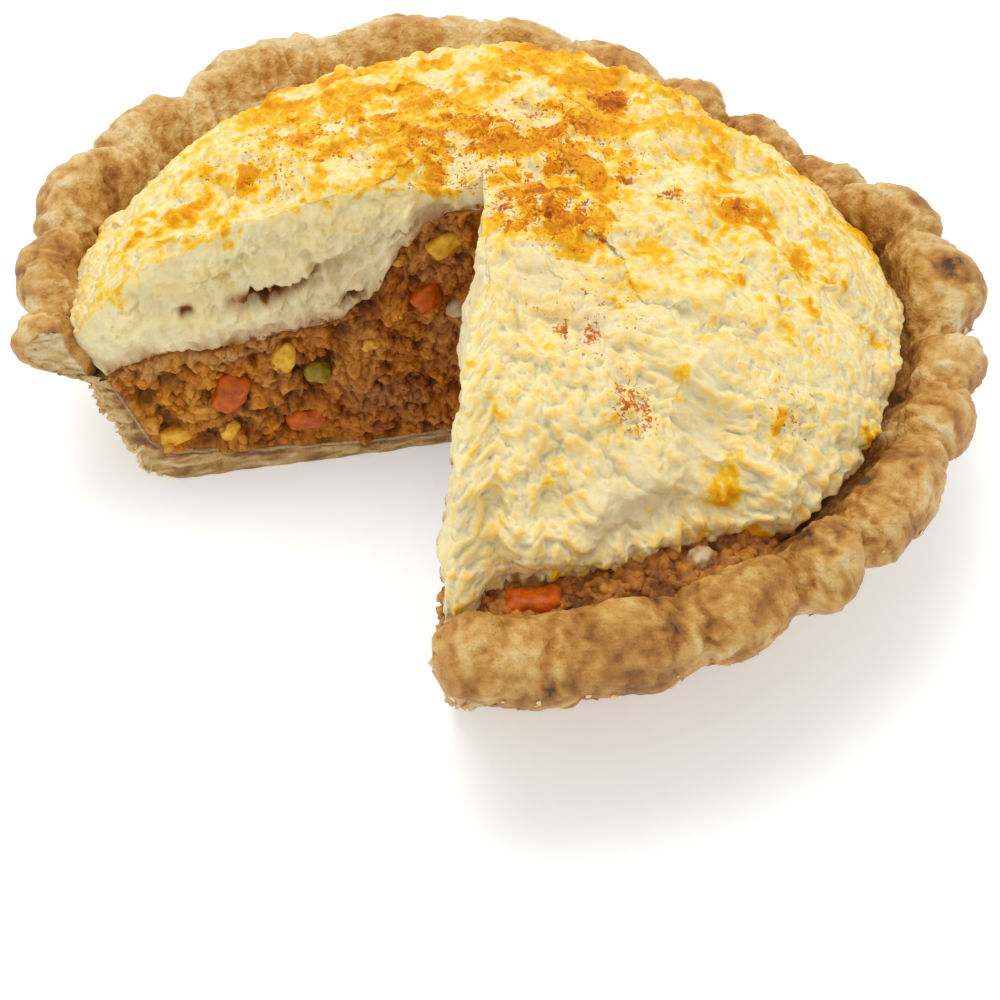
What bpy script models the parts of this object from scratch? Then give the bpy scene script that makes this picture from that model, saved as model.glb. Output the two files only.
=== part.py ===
"""A shepherd's pie with one slice cut out of it.

A hand-crimped pastry case holds minced filling under a domed cap of mashed potato. All three show
their layers at the two cut faces, where corn, carrot and onion stand out of the mince. The cap stops
short of the pastry along one stretch of the rim, and the filling shows there too.

Lengths are in metres and angles in degrees unless a name says otherwise. Azimuths are counted from +X
towards +Y. The pie's axis is upright, and the slice's two faces meet a little off that axis.
"""

import math

import bmesh
import bpy
from mathutils import Euler, Matrix, Vector, noise

# The slice that is gone.
CUT_START = 191.4
CUT_END = 265.2
CUT_APEX = Vector((-0.0017, -0.0026))

# Pastry case: a flat foot, a rounded corner, a flared wall, and a floor that thickens outwards.
FOOT_RADIUS = 0.0870
FOOT_CORNER = 0.0120
FOOT_ROUND = (0.0030, 0.0042)
FLARE = 0.3135
WALL_THICKNESS = 0.0062
INNER_WALL_RADIUS = 0.0883
UNDER_RIM_HEIGHT = 0.0380
FLOOR_HEIGHT = 0.0050
FLOOR_RISE = 0.0062
FLOOR_BEND_RADIUS = 0.0650
FLOOR_EDGE_RADIUS = 0.0890
INNER_CORNER_HEIGHT = 0.0160
SHELF_HEIGHT = 0.0410

# Crimped rim: a thick tube whose swellings lean and differ in size, as fingers leave them.
RIM_RADIUS = 0.1150
RIM_HEIGHT = 0.0490
RIM_TUBE = 0.0056
RIM_AROUND = (-72, -35, 0, 32, 62, 90, 120, 150)
CRIMP_SWELL = 0.0048
CRIMP_BLUNTNESS = 0.8
MOUTH_INSET = 0.0085
MOUTH_DROP = 0.0010
MOUTH_OVERHANG = 0.0024
CRIMP_COLUMN_STEP = 2.8

# How far a crimp leans over, as a share of a crimp, and how that changes from one to the next in radians.
CRIMP_LEAN = 0.38
CRIMP_LEAN_STEP = 1.16
CRIMP_LEAN_START = -1.92

# Waves of the whole rim, which baking has left uneven: size, waves per turn, and their start.
RIM_HEIGHT_WAVES = ((0.0034, 1, 180.0), (0.0023, 2, 55.6))
RIM_RADIUS_WAVES = ((0.0024, 2, 74.0), (0.0016, 3, 0.0))

# The pinches, clockwise: azimuth, how deep the pinch is, and how full the swelling after it is.
CRIMPS = (
    (200.0, 1.0, 0.9), (185.5, 1.3, 0.9), (170.0, 1.0, 1.4), (152.0, 1.1, 0.6), (137.0, 1.8, 1.0),
    (115.5, 0.8, 1.2), (92.0, 0.35, 1.4), (78.0, 0.6, 1.0), (61.5, 1.3, 0.9), (50.0, 1.6, 0.9),
    (37.0, 1.3, 0.5), (27.0, 1.1, 1.9), (13.5, 0.7, 2.0), (-5.0, 1.3, 0.8), (-15.5, 1.0, 0.8),
    (-24.5, 1.2, 0.9), (-41.0, 1.2, 0.9), (-51.0, 1.2, 1.0), (-66.0, 0.5, 1.1), (-82.5, 0.2, 1.0),
    (-99.0, 1.0, 1.0),
)

# A stretch of rim that has slumped inwards: azimuth, half width, how far.
SLUMP = (40.0, 16.0, 0.0060)

# Filling and potato.
DOME_EDGE_HEIGHT = 0.0450
DOME_RISE = 0.0370
DOME_RADIUS = 0.0270
DOME_RINGS = (0.0120, 0.0200, 0.0270, 0.0350, 0.0460, 0.0640, 0.0850)
CAP_TOP_HEIGHT = 0.0935
CAP_ROUNDNESS = 0.45
CAP_EDGE_ABOVE_RIM = 0.0045
CAP_EDGE_DEPTH = 0.0030
CAP_EDGE_RAGGED = 0.0018
CAP_EDGE_WAVES = 3.1
RAGGED_PLACE = Vector((0.0, 0.0, 7.0))
CAP_RINGS = (0.08, 0.17, 0.26, 0.35, 0.44, 0.53, 0.62, 0.71, 0.79, 0.87, 0.94)
CAP_COLUMNS = 54
LUMP_HEIGHT = 0.0036
LUMP_SIZE = 0.0210

# Where the potato lies lower against the rim: azimuth, half width, how far.
SUNK_EDGE = (125.0, 45.0, 0.0090)

# Bare stretch of filling along the rim: over which azimuths the potato draws back from the rim and
# comes back to it, and how far it lies off the rim between them.
BARE_START = (266.0, 273.0)
BARE_END = (304.0, 317.0)
BARE_DEPTH = 0.0125

# Gaps between the layers and round each vegetable.
GAP = 0.0004
PLAY = 0.0003

# Vegetables in the cut faces: kind, name, face, distance out from the apex, height, tilt, half sizes.
FACE_PIECES = (
    ("kernel", "corn_1", CUT_START, 0.0842, 0.0160, 5, (0.0046, 0.0031, 0.0026)),
    ("kernel", "corn_2", CUT_START, 0.0697, 0.0155, 70, (0.0033, 0.0030, 0.0024)),
    ("kernel", "corn_3", CUT_START, 0.0530, 0.0398, 65, (0.0047, 0.0034, 0.0025)),
    ("kernel", "corn_4", CUT_START, 0.0094, 0.0718, 30, (0.0050, 0.0036, 0.0024)),
    ("kernel", "corn_5", CUT_START, 0.0300, 0.0414, 10, (0.0029, 0.0022, 0.0020)),
    ("dice", "carrot_1", CUT_START, 0.0683, 0.0297, 62, (0.0056, 0.0040, 0.0030)),
    ("dice", "carrot_2", CUT_START, 0.0490, 0.0168, 8, (0.0047, 0.0030, 0.0028)),
    ("dice", "carrot_3", CUT_START, 0.0152, 0.0551, 35, (0.0036, 0.0031, 0.0025)),
    ("chip", "green_bean_1", CUT_START, 0.0448, 0.0331, -20, (0.0036, 0.0029, 0.0024)),
    ("chip", "onion_1", CUT_START, 0.0068, 0.0500, 20, (0.0034, 0.0022, 0.0022)),
    ("kernel", "corn_6", CUT_END, 0.0725, 0.0168, 20, (0.0046, 0.0032, 0.0026)),
    ("kernel", "corn_7", CUT_END, 0.0365, 0.0215, 75, (0.0044, 0.0031, 0.0025)),
    ("kernel", "corn_8", CUT_END, 0.0850, 0.0330, -35, (0.0045, 0.0033, 0.0026)),
    ("dice", "carrot_4", CUT_END, 0.0550, 0.0300, 40, (0.0052, 0.0042, 0.0030)),
    ("dice", "carrot_5", CUT_END, 0.0180, 0.0430, 15, (0.0042, 0.0034, 0.0028)),
    ("chip", "green_bean_2", CUT_END, 0.0660, 0.0385, 30, (0.0037, 0.0028, 0.0024)),
    ("chip", "onion_2", CUT_END, 0.0255, 0.0140, -10, (0.0035, 0.0024, 0.0022)),
)

# How far the vegetables stand out of a cut face, how uneven they are, and how wide a kernel is at its
# middle and towards its blunt end.
PROUD = 0.0008
LUMP_UNEVENNESS = 0.10
KERNEL_TAPER = (0.80, 0.28)

# Vegetables on the bare stretch of filling: kind, name, azimuth, radius, height, heading, half sizes.
TOP_PIECES = (
    ("dice", "carrot_6", 277.6, 0.0970, 0.0452, 6, (0.0058, 0.0032, 0.0030)),
    ("chip", "onion_3", 302.5, 0.0968, 0.0455, 30, (0.0033, 0.0025, 0.0025)),
)


def smooth_step(low, high, value):
    """Return 0 below low, 1 above high, and a smooth rise between them."""
    share = min(max((value - low) / (high - low), 0.0), 1.0)
    return share * share * (3.0 - 2.0 * share)


def angle_between(azimuth, other):
    """Return the signed turn from other to azimuth, within half a turn either way."""
    return (azimuth - other + 180.0) % 360.0 - 180.0


def crimp_at(azimuth):
    """Return a place on the rim counted in crimps from the first pinch, and how full it is there.

    A crimp's fullness is that of its middle, and runs straight from one middle to the next.
    """
    place = CRIMPS[0][0] - (CRIMPS[0][0] - azimuth) % 360.0
    for index, ((before, _, fullness), (after, _, _)) in enumerate(zip(CRIMPS, CRIMPS[1:])):
        if place >= after:
            break
    share = (before - place) / (before - after)
    neighbour = CRIMPS[min(max(index + (1 if share > 0.5 else -1), 0), len(CRIMPS) - 1)][2]
    return index + share, fullness + (neighbour - fullness) * abs(share - 0.5)


def wave_sum(waves, azimuth):
    """Return the sum of these waves round the pie at one azimuth."""
    return sum(size * math.cos(math.radians(count * azimuth + start)) for size, count, start in waves)


def bell(patch, azimuth):
    """Return a patch's effect here, for a patch of middle azimuth, half width and full effect."""
    middle, half_width, effect = patch
    return effect * math.exp(-((angle_between(azimuth, middle) / half_width) ** 2))


def rim_height(azimuth):
    """Return the height of the rim's core, which the baking has left higher on one side."""
    return RIM_HEIGHT + wave_sum(RIM_HEIGHT_WAVES, azimuth)


def rim_radius(azimuth):
    """Return the radius of the rim's core, which isn't quite round."""
    return RIM_RADIUS + wave_sum(RIM_RADIUS_WAVES, azimuth) - bell(SLUMP, azimuth)


def crimp_swelling(crimp, around):
    """Return how full the rim is at an angle around its section, from 1 on a crest down to a pinch."""
    lean = CRIMP_LEAN * math.sin(CRIMP_LEAN_STEP * crimp + CRIMP_LEAN_START)
    place = crimp + lean * (0.5 - around / 180.0)
    _, depth, _ = CRIMPS[min(max(round(place), 0), len(CRIMPS) - 1)]
    return 1.0 - depth * (1.0 - abs(math.sin(math.pi * place)) ** CRIMP_BLUNTNESS)


def inner_wall_radius(height):
    """Return the radius of the case's inner wall, which flares upwards."""
    return INNER_WALL_RADIUS + FLARE * height


def mouth_radius(azimuth):
    """Return the radius of the rim's inner edge, which hangs only a little way over the filling."""
    return max(rim_radius(azimuth) - MOUTH_INSET, inner_wall_radius(SHELF_HEIGHT) - MOUTH_OVERHANG)


def case_inner_radius(azimuth, height):
    """Return the radius of the case's inner side, from the shelf up to its mouth and above it."""
    shelf_radius = inner_wall_radius(SHELF_HEIGHT)
    mouth_height = rim_height(azimuth) - MOUTH_DROP
    share = (height - SHELF_HEIGHT) / (mouth_height - SHELF_HEIGHT)
    return shelf_radius + (mouth_radius(azimuth) - shelf_radius) * min(max(share, 0.0), 1.0)


def floor_height(radius):
    """Return the height of the case's floor, which rises towards the wall."""
    return FLOOR_HEIGHT + FLOOR_RISE * (radius / FOOT_RADIUS) ** 3


def case_section(azimuth):
    """Return the pastry's outline as (radius, height) pairs, from the foot over the rim to the floor."""
    crimp, fullness = crimp_at(azimuth)
    core_radius = rim_radius(azimuth)
    core_height = rim_height(azimuth)
    outer_foot = inner_wall_radius(FOOT_CORNER) + WALL_THICKNESS
    inner_edge = mouth_radius(azimuth)
    outline = [
        (FOOT_RADIUS, 0.0),
        (outer_foot - FOOT_ROUND[0], FOOT_ROUND[1]),
        (outer_foot, FOOT_CORNER),
        (inner_wall_radius(UNDER_RIM_HEIGHT) + WALL_THICKNESS, UNDER_RIM_HEIGHT),
    ]
    for around in RIM_AROUND:
        turn = math.radians(around)
        reach = RIM_TUBE + CRIMP_SWELL * fullness * crimp_swelling(crimp, around)
        radius = core_radius + reach * math.cos(turn)
        height = core_height + reach * math.sin(turn)
        outline.append((max(radius, inner_edge), height))
    outline.append((inner_edge, core_height - MOUTH_DROP))
    outline.append((inner_wall_radius(SHELF_HEIGHT), SHELF_HEIGHT))
    outline.append((inner_wall_radius(INNER_CORNER_HEIGHT), INNER_CORNER_HEIGHT))
    outline.append((FLOOR_EDGE_RADIUS, floor_height(FLOOR_EDGE_RADIUS)))
    outline.append((FLOOR_BEND_RADIUS, floor_height(FLOOR_BEND_RADIUS)))
    return outline


def dome_height(radius):
    """Return the height of the surface where potato meets filling, straight between its rings."""
    rings = (0.0,) + DOME_RINGS + (inner_wall_radius(SHELF_HEIGHT) - GAP,)
    heights = [DOME_EDGE_HEIGHT + DOME_RISE / (1.0 + (ring / DOME_RADIUS) ** 4) for ring in rings]
    heights[-1] = SHELF_HEIGHT + GAP
    for inner, outer, low, high in zip(rings, rings[1:], heights, heights[1:]):
        if radius <= outer:
            return low + (high - low) * (radius - inner) / (outer - inner)
    return heights[-1]


def filling_section(_azimuth):
    """Return the filling's outline as (radius, height) pairs, from its floor up the wall to the dome."""
    wall_top = inner_wall_radius(SHELF_HEIGHT) - GAP
    outline = [
        (FLOOR_BEND_RADIUS, floor_height(FLOOR_BEND_RADIUS) + GAP),
        (FLOOR_EDGE_RADIUS - GAP, floor_height(FLOOR_EDGE_RADIUS) + GAP),
        (inner_wall_radius(INNER_CORNER_HEIGHT) - GAP, INNER_CORNER_HEIGHT + 0.5 * GAP),
        (wall_top, SHELF_HEIGHT + GAP),
    ]
    outline += [(ring, dome_height(ring)) for ring in reversed(DOME_RINGS)]
    return outline


def cap_edge_height(azimuth):
    """Return the height of the potato's edge: above the rim's core, or sunk below it along one side."""
    return rim_height(azimuth) + CAP_EDGE_ABOVE_RIM - bell(SUNK_EDGE, azimuth)


def cap_edge_radius(azimuth):
    """Return the radius where the potato ends: ragged, and drawn back along the bare stretch."""
    turn = math.radians(azimuth)
    ragged = noise.noise(Vector((math.cos(turn), math.sin(turn), 0.0)) * CAP_EDGE_WAVES + RAGGED_PLACE)
    bare = smooth_step(*BARE_START, azimuth % 360.0) * (1.0 - smooth_step(*BARE_END, azimuth % 360.0))
    wall = case_inner_radius(azimuth, cap_edge_height(azimuth) - CAP_EDGE_DEPTH)
    return wall - 2.0 * GAP - CAP_EDGE_RAGGED * (0.5 + ragged) - BARE_DEPTH * bare


def cap_top_height(spot, share, edge_height):
    """Return the potato's top at a spot that lies this share of the way from the middle to its edge."""
    fall = CAP_ROUNDNESS * share**2 + (1.0 - CAP_ROUNDNESS) * share**5
    crest = 1.0 - abs(noise.noise(Vector((spot.x, spot.y, 0.0)) / LUMP_SIZE)) * 2.0
    lumps = LUMP_HEIGHT * (crest - 0.5) * (1.0 - 0.5 * share**6)
    return CAP_TOP_HEIGHT + (edge_height - CAP_TOP_HEIGHT) * fall + lumps


def cap_section(azimuth):
    """Return the potato's outline as (radius, height) pairs, out along the dome and back over the top."""
    edge_radius = cap_edge_radius(azimuth)
    edge_height = cap_edge_height(azimuth)
    shelf = min(inner_wall_radius(SHELF_HEIGHT) - 2.0 * GAP, edge_radius)
    outline = [(ring, dome_height(ring) + GAP) for ring in DOME_RINGS]
    outline.append((shelf, dome_height(shelf) + 1.5 * GAP))
    outline.append((edge_radius, edge_height - CAP_EDGE_DEPTH))
    for share in reversed(CAP_RINGS):
        spot = ray_point(azimuth, share * edge_radius)
        outline.append((share * edge_radius, cap_top_height(spot, share, edge_height)))
    return outline


def ray_point(azimuth, radius):
    """Return the spot at this radius from the pie's axis, on the upright plane through the cut's apex."""
    turn = math.radians(azimuth)
    direction = Vector((math.cos(turn), math.sin(turn)))
    lead = CUT_APEX.dot(direction)
    return CUT_APEX + direction * (math.sqrt(lead**2 + radius**2 - CUT_APEX.length_squared) - lead)


def swept_mesh(name, section, azimuths, bottom_height, top_height):
    """Return a closed mesh swept round the cut's apex, with a flat face at each end of the sweep."""
    shell = bmesh.new()
    bottom = shell.verts.new((CUT_APEX.x, CUT_APEX.y, bottom_height))
    top = shell.verts.new((CUT_APEX.x, CUT_APEX.y, top_height))
    columns = []
    for azimuth in azimuths:
        column = [bottom]
        for radius, height in section(azimuth):
            spot = ray_point(azimuth, radius)
            column.append(shell.verts.new((spot.x, spot.y, height)))
        columns.append(column + [top])
    for left, right in zip(columns, columns[1:]):
        shell.faces.new((bottom, left[1], right[1]))
        shell.faces.new((top, right[-2], left[-2]))
        for row in range(1, len(left) - 2):
            shell.faces.new((left[row], left[row + 1], right[row + 1], right[row]))
    shell.faces.new(columns[0])
    shell.faces.new(reversed(columns[-1]))
    bmesh.ops.recalc_face_normals(shell, faces=shell.faces[:])
    mesh = bpy.data.meshes.new(name)
    shell.to_mesh(mesh)
    shell.free()
    return mesh


def lump_mesh(name, kind, size):
    """Return a vegetable piece centred on its origin, with half sizes in X, Y and Z.

    A kernel tapers to one end, a dice has blunt corners, and a chip is a plain rounded bit. Each is a
    little uneven, in a way that follows from its name and size.
    """
    unevenness = Vector((len(name), size[0] * 4000.0, 0.0))
    lump = bmesh.new()
    bmesh.ops.create_icosphere(lump, subdivisions=2, radius=1.0)
    for vertex in lump.verts:
        place = vertex.co.normalized()
        if kind == "dice":
            place /= (abs(place.x) ** 4 + abs(place.y) ** 4 + abs(place.z) ** 4) ** 0.25
        if kind == "kernel":
            taper = KERNEL_TAPER[0] + KERNEL_TAPER[1] * place.x
            place = Vector((place.x, place.y * taper, place.z * taper))
        bump = 1.0 + LUMP_UNEVENNESS * noise.noise(place * 1.7 + unevenness)
        vertex.co = Vector((place.x * size[0], place.y * size[1], place.z * size[2])) * bump
    mesh = bpy.data.meshes.new(name)
    lump.to_mesh(mesh)
    lump.free()
    mesh.shade_smooth()
    return mesh


def food_material(name, colour, roughness):
    """Return a Principled material of this linear colour and roughness."""
    material = bpy.data.materials.new(name)
    material.use_nodes = True
    shader = material.node_tree.nodes["Principled BSDF"]
    shader.inputs["Base Color"].default_value = (*colour, 1.0)
    shader.inputs["Roughness"].default_value = roughness
    shader.inputs["Metallic"].default_value = 0.0
    return material


def add_object(name, mesh, material, parent):
    """Link an object of this mesh into the scene under its parent, and return it."""
    mesh.materials.append(material)
    piece = bpy.data.objects.new(name, mesh)
    piece.parent = parent
    bpy.context.scene.collection.objects.link(piece)
    return piece


def even_azimuths(count):
    """Return azimuths from one cut face round to the other, evenly spaced."""
    whole = CUT_START + 360.0 - CUT_END
    return [CUT_END - 360.0 + whole * step / count for step in range(count + 1)]


def crimped_azimuths():
    """Return azimuths from one cut face round to the other, with a whole number of steps in every crimp."""
    inner = []
    for (before, _, _), (after, _, _) in zip(CRIMPS, CRIMPS[1:]):
        count = max(3, round((before - after) / CRIMP_COLUMN_STEP))
        inner += [before + (after - before) * step / count for step in range(count)]
    kept = [azimuth for azimuth in inner if CUT_END - 359.0 < azimuth < CUT_START - 1.0]
    return [CUT_END - 360.0] + sorted(kept) + [CUT_START]


def on_cut_face(azimuth, along, height, depth, tilt):
    """Return where a piece in a cut face sits: its place, and a turn that lays its X and Y in the face.

    The depth is how far its middle lies behind the face, and the tilt turns it in the face.
    """
    turn = math.radians(azimuth)
    outwards = Vector((math.cos(turn), math.sin(turn), 0.0))
    side = 1.0 if azimuth == CUT_START else -1.0
    open_side = Vector((-outwards.y, outwards.x, 0.0)) * side
    place = Vector((CUT_APEX.x, CUT_APEX.y, height)) + outwards * along - open_side * depth
    upwards = open_side.cross(outwards)
    turned = Matrix((outwards, upwards, open_side)).transposed() @ Matrix.Rotation(tilt, 3, "Z")
    return place, turned.to_euler()


def on_bare_filling(azimuth, radius, height, heading):
    """Return where a piece on the bare filling sits: its place, and its turn about the upright."""
    spot = ray_point(azimuth, radius)
    return Vector((spot.x, spot.y, height)), Euler((0.0, 0.0, math.radians(heading)))


def place_vegetables(pie, materials):
    """Make each vegetable as its own object, and return the cutter that opens the filling round them."""
    placed = []
    for kind, name, azimuth, along, height, tilt, size in FACE_PIECES:
        depth = size[2] - PROUD
        place, turn = on_cut_face(azimuth, along, height, depth, math.radians(tilt))
        placed.append((kind, name, size, place, turn))
    for kind, name, azimuth, radius, height, heading, size in TOP_PIECES:
        place, turn = on_bare_filling(azimuth, radius, height, heading)
        placed.append((kind, name, size, place, turn))
    pockets = bmesh.new()
    for kind, name, size, place, turn in placed:
        mesh = lump_mesh(name, kind, size)
        piece = add_object(name, mesh, materials[name.rsplit("_", 1)[0]], pie)
        piece.location = place
        piece.rotation_euler = turn
        start = len(pockets.verts)
        pockets.from_mesh(mesh)
        pockets.verts.ensure_lookup_table()
        for vertex in pockets.verts[start:]:
            outwards = Vector([vertex.co[axis] / size[axis] ** 2 for axis in range(3)]).normalized()
            vertex.co += outwards * PLAY
            vertex.co = place + turn.to_matrix() @ vertex.co
    mesh = bpy.data.meshes.new("vegetable_pockets")
    pockets.to_mesh(mesh)
    pockets.free()
    cutter = add_object("vegetable_pockets", mesh, materials["meat_filling"], pie)
    cutter.hide_render = True
    cutter.display_type = "WIRE"
    return cutter


def centre_on_origin(pie, case):
    """Move the pie so that the middle of its bounding box stands over the origin."""
    for axis in range(2):
        places = [vertex.co[axis] for vertex in case.data.vertices]
        pie.location[axis] = -0.5 * (min(places) + max(places))


def main():
    """Build the pie."""
    for leftover in list(bpy.data.objects):
        bpy.data.objects.remove(leftover)
    materials = {
        "pastry_case": food_material("baked pastry", (0.52, 0.29, 0.10), 0.62),
        "meat_filling": food_material("minced meat", (0.22, 0.09, 0.035), 0.68),
        "mashed_potato": food_material("mashed potato", (0.80, 0.72, 0.42), 0.60),
        "corn": food_material("sweetcorn", (0.80, 0.50, 0.08), 0.42),
        "carrot": food_material("carrot", (0.62, 0.10, 0.02), 0.45),
        "green_bean": food_material("green bean", (0.30, 0.30, 0.06), 0.50),
        "onion": food_material("onion", (0.62, 0.52, 0.36), 0.50),
    }
    pie = bpy.data.objects.new("pie", None)
    bpy.context.scene.collection.objects.link(pie)

    case_mesh = swept_mesh("pastry_case", case_section, crimped_azimuths(), 0.0, FLOOR_HEIGHT)
    case = add_object("pastry_case", case_mesh, materials["pastry_case"], pie)

    floor = FLOOR_HEIGHT + GAP
    filling_top = dome_height(0.0)
    filling_azimuths = even_azimuths(CAP_COLUMNS * 3 // 4)
    filling_mesh = swept_mesh("meat_filling", filling_section, filling_azimuths, floor, filling_top)
    filling = add_object("meat_filling", filling_mesh, materials["meat_filling"], pie)

    cap_azimuths = even_azimuths(CAP_COLUMNS)
    cap_mesh = swept_mesh("mashed_potato", cap_section, cap_azimuths, filling_top + GAP, CAP_TOP_HEIGHT)
    add_object("mashed_potato", cap_mesh, materials["mashed_potato"], pie)

    pockets = filling.modifiers.new("vegetable pockets", "BOOLEAN")
    pockets.operation = "DIFFERENCE"
    pockets.object = place_vegetables(pie, materials)
    centre_on_origin(pie, case)


main()
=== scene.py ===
"""Looks of a shepherd's pie with one slice gone: baked pastry, minced filling, browned potato.

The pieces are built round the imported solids, in the same row frame. Lengths are in metres and angles in
degrees unless a name says otherwise. Azimuths are counted from +X towards +Y round the pie's own axis,
and the two cut faces meet at an apex a little off that axis.
"""

from __future__ import annotations

import logging
import math
from dataclasses import dataclass, field
from enum import Enum
from functools import partial

import bmesh
import bpy
import numpy as np
from mathutils import Matrix, Vector, noise

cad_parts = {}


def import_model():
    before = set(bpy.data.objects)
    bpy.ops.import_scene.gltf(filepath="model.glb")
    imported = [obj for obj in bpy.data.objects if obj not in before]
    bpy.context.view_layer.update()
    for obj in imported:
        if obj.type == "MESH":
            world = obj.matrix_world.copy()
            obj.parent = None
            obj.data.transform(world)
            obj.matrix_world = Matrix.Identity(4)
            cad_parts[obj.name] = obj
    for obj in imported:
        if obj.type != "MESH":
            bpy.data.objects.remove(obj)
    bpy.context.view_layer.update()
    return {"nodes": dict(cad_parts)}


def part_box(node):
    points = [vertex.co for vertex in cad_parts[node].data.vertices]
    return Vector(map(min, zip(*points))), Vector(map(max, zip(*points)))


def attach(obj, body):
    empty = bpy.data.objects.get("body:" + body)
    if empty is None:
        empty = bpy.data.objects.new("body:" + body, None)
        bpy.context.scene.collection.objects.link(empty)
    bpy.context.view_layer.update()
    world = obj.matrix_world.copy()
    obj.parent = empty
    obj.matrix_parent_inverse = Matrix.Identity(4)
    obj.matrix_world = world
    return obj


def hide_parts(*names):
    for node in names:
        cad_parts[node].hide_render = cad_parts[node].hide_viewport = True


LOG = logging.getLogger("shepherds_pie")
MM = 0.001
WHOLE_TURN = 360.0
GRAIN_ROUGHNESS = 0.58
Array = np.ndarray
Mesh = bpy.types.Mesh
Piece = bpy.types.Object
Material = bpy.types.Material
Socket = bpy.types.NodeSocket
Tree = bpy.types.NodeTree


# ---- Numbers, colours and noise ----


def linear(hex_colour: str) -> tuple[float, float, float, float]:
    """Turn an sRGB hex colour into a linear one.

    Args:
        hex_colour: Six hex digits.

    Returns:
        Linear red, green and blue, and 1.
    """
    parts = [int(hex_colour[at : at + 2], 16) / 255.0 for at in (0, 2, 4)]
    made = [part / 12.92 if part <= 0.04045 else ((part + 0.055) / 1.055) ** 2.4 for part in parts]
    return (made[0], made[1], made[2], 1.0)


def ease(low: float, high: float, value: Array) -> Array:
    """Return 0 below low, 1 above high, and a smooth rise between them."""
    share = np.clip((value - low) / (high - low), 0.0, 1.0)
    return share * share * (3.0 - 2.0 * share)


def hashed(cells: Array, seed: int) -> Array:
    """Give each whole-numbered cell an even random number.

    Args:
        cells: Cell numbers, with one column for each axis.
        seed: Which set of numbers.

    Returns:
        A number from 0 to 1 for each cell.
    """
    value = np.full(cells.shape[:-1], (seed * 747796405 + 2891336453) & 0xFFFFFFFF, dtype=np.uint32)
    for axis in range(cells.shape[-1]):
        value = (value ^ cells[..., axis].astype(np.int64).astype(np.uint32)) * np.uint32(2654435769)
        value ^= value >> np.uint32(15)
    value = value * np.uint32(2246822507)
    value ^= value >> np.uint32(13)
    return value.astype(np.float64) / 4294967296.0


def soft_noise(points: Array, size: float, seed: int, octaves: int = 1) -> Array:
    """Return smooth noise between about -1 and 1.

    Args:
        points: Places, with two or three columns.
        size: Length of its coarsest waves.
        seed: Which pattern.
        octaves: How many finer layers are added, each at half the size and height.

    Returns:
        One value for each place.
    """
    total = np.zeros(len(points))
    share, norm = 1.0, 0.0
    turn = np.linalg.qr(np.random.default_rng(11).normal(size=(points.shape[1],) * 2))[0]
    at = points / size + 31.7
    for octave in range(octaves):
        cell = np.floor(at)
        part = at - cell
        eased = part**3 * (part * (part * 6.0 - 15.0) + 10.0)
        value = np.zeros(len(points))
        for corner in np.ndindex(*(2,) * points.shape[1]):
            weight = np.prod(np.where(np.array(corner) == 1, eased, 1.0 - eased), axis=1)
            value += weight * hashed(cell + np.array(corner), seed + octave)
        total += share * (2.0 * value - 1.0)
        norm += share * 0.72
        share *= 0.5
        at = (at @ turn) * 2.0 + 5.3
    return total / norm


def noise_pair(points: Array, size: float, seeds: tuple[int, int], octaves: int) -> Array:
    """Return two soft noises side by side, one for each seed."""
    return np.stack([soft_noise(points, size, seed, octaves) for seed in seeds], 1)


def cell_noise(points: Array, size: float, seed: int) -> tuple[Array, Array, Array]:
    """Sort places into rounded random cells.

    Args:
        points: Places, with two or three columns.
        size: About the width of a cell.
        seed: Which pattern.

    Returns:
        Distance to the nearest cell's middle and to the next one, in cell widths, and the nearest
        cell's own random number.
    """
    at = points / size
    base = np.floor(at)
    first = np.full(len(points), 9.0)
    second = np.full(len(points), 9.0)
    own = np.zeros(len(points))
    dims = points.shape[1]
    for step in np.ndindex(*(3,) * dims):
        cell = base + np.array(step) - 1.0
        middle = cell + 0.5 + 0.8 * (np.stack([hashed(cell, seed + axis) for axis in range(dims)], 1) - 0.5)
        distance = np.linalg.norm(at - middle, axis=1)
        number = hashed(cell, seed + 9)
        nearer = distance < first
        second = np.where(nearer, first, np.minimum(second, distance))
        own = np.where(nearer, number, own)
        first = np.where(nearer, distance, first)
    return first, second, own


def smoothed(mesh: Mesh, values: Array, rounds: int) -> Array:
    """Even out numbers over a mesh.

    Args:
        mesh: The mesh.
        values: One number for each vertex.
        rounds: How many times each takes on half of what its neighbours have.

    Returns:
        The evened numbers.
    """
    edges = np.empty(len(mesh.edges) * 2, dtype=np.int32)
    mesh.edges.foreach_get("vertices", edges)
    first, second = edges.reshape(-1, 2).T
    count = np.maximum(np.bincount(edges, minlength=len(values)), 1)
    for _ in range(rounds):
        total = (
            np.bincount(first, values[second], len(values)) + np.bincount(second, values[first], len(values))
        )
        values = 0.5 * (values + total / count)
    return values


def stroke_shares(spots: Array) -> tuple[Array, Array, Array]:
    """Say how much each spot of the potato follows the strokes on the left, on the right and in front."""
    front = 1.0 - ease(-0.052, -0.018, spots[:, 1])
    left = (1.0 - ease(-0.030, 0.015, spots[:, 0])) * (1.0 - front)
    return left, 1.0 - left - front, front


STROKES = (math.radians(33.0), math.radians(-38.0), math.radians(-8.0))


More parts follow.
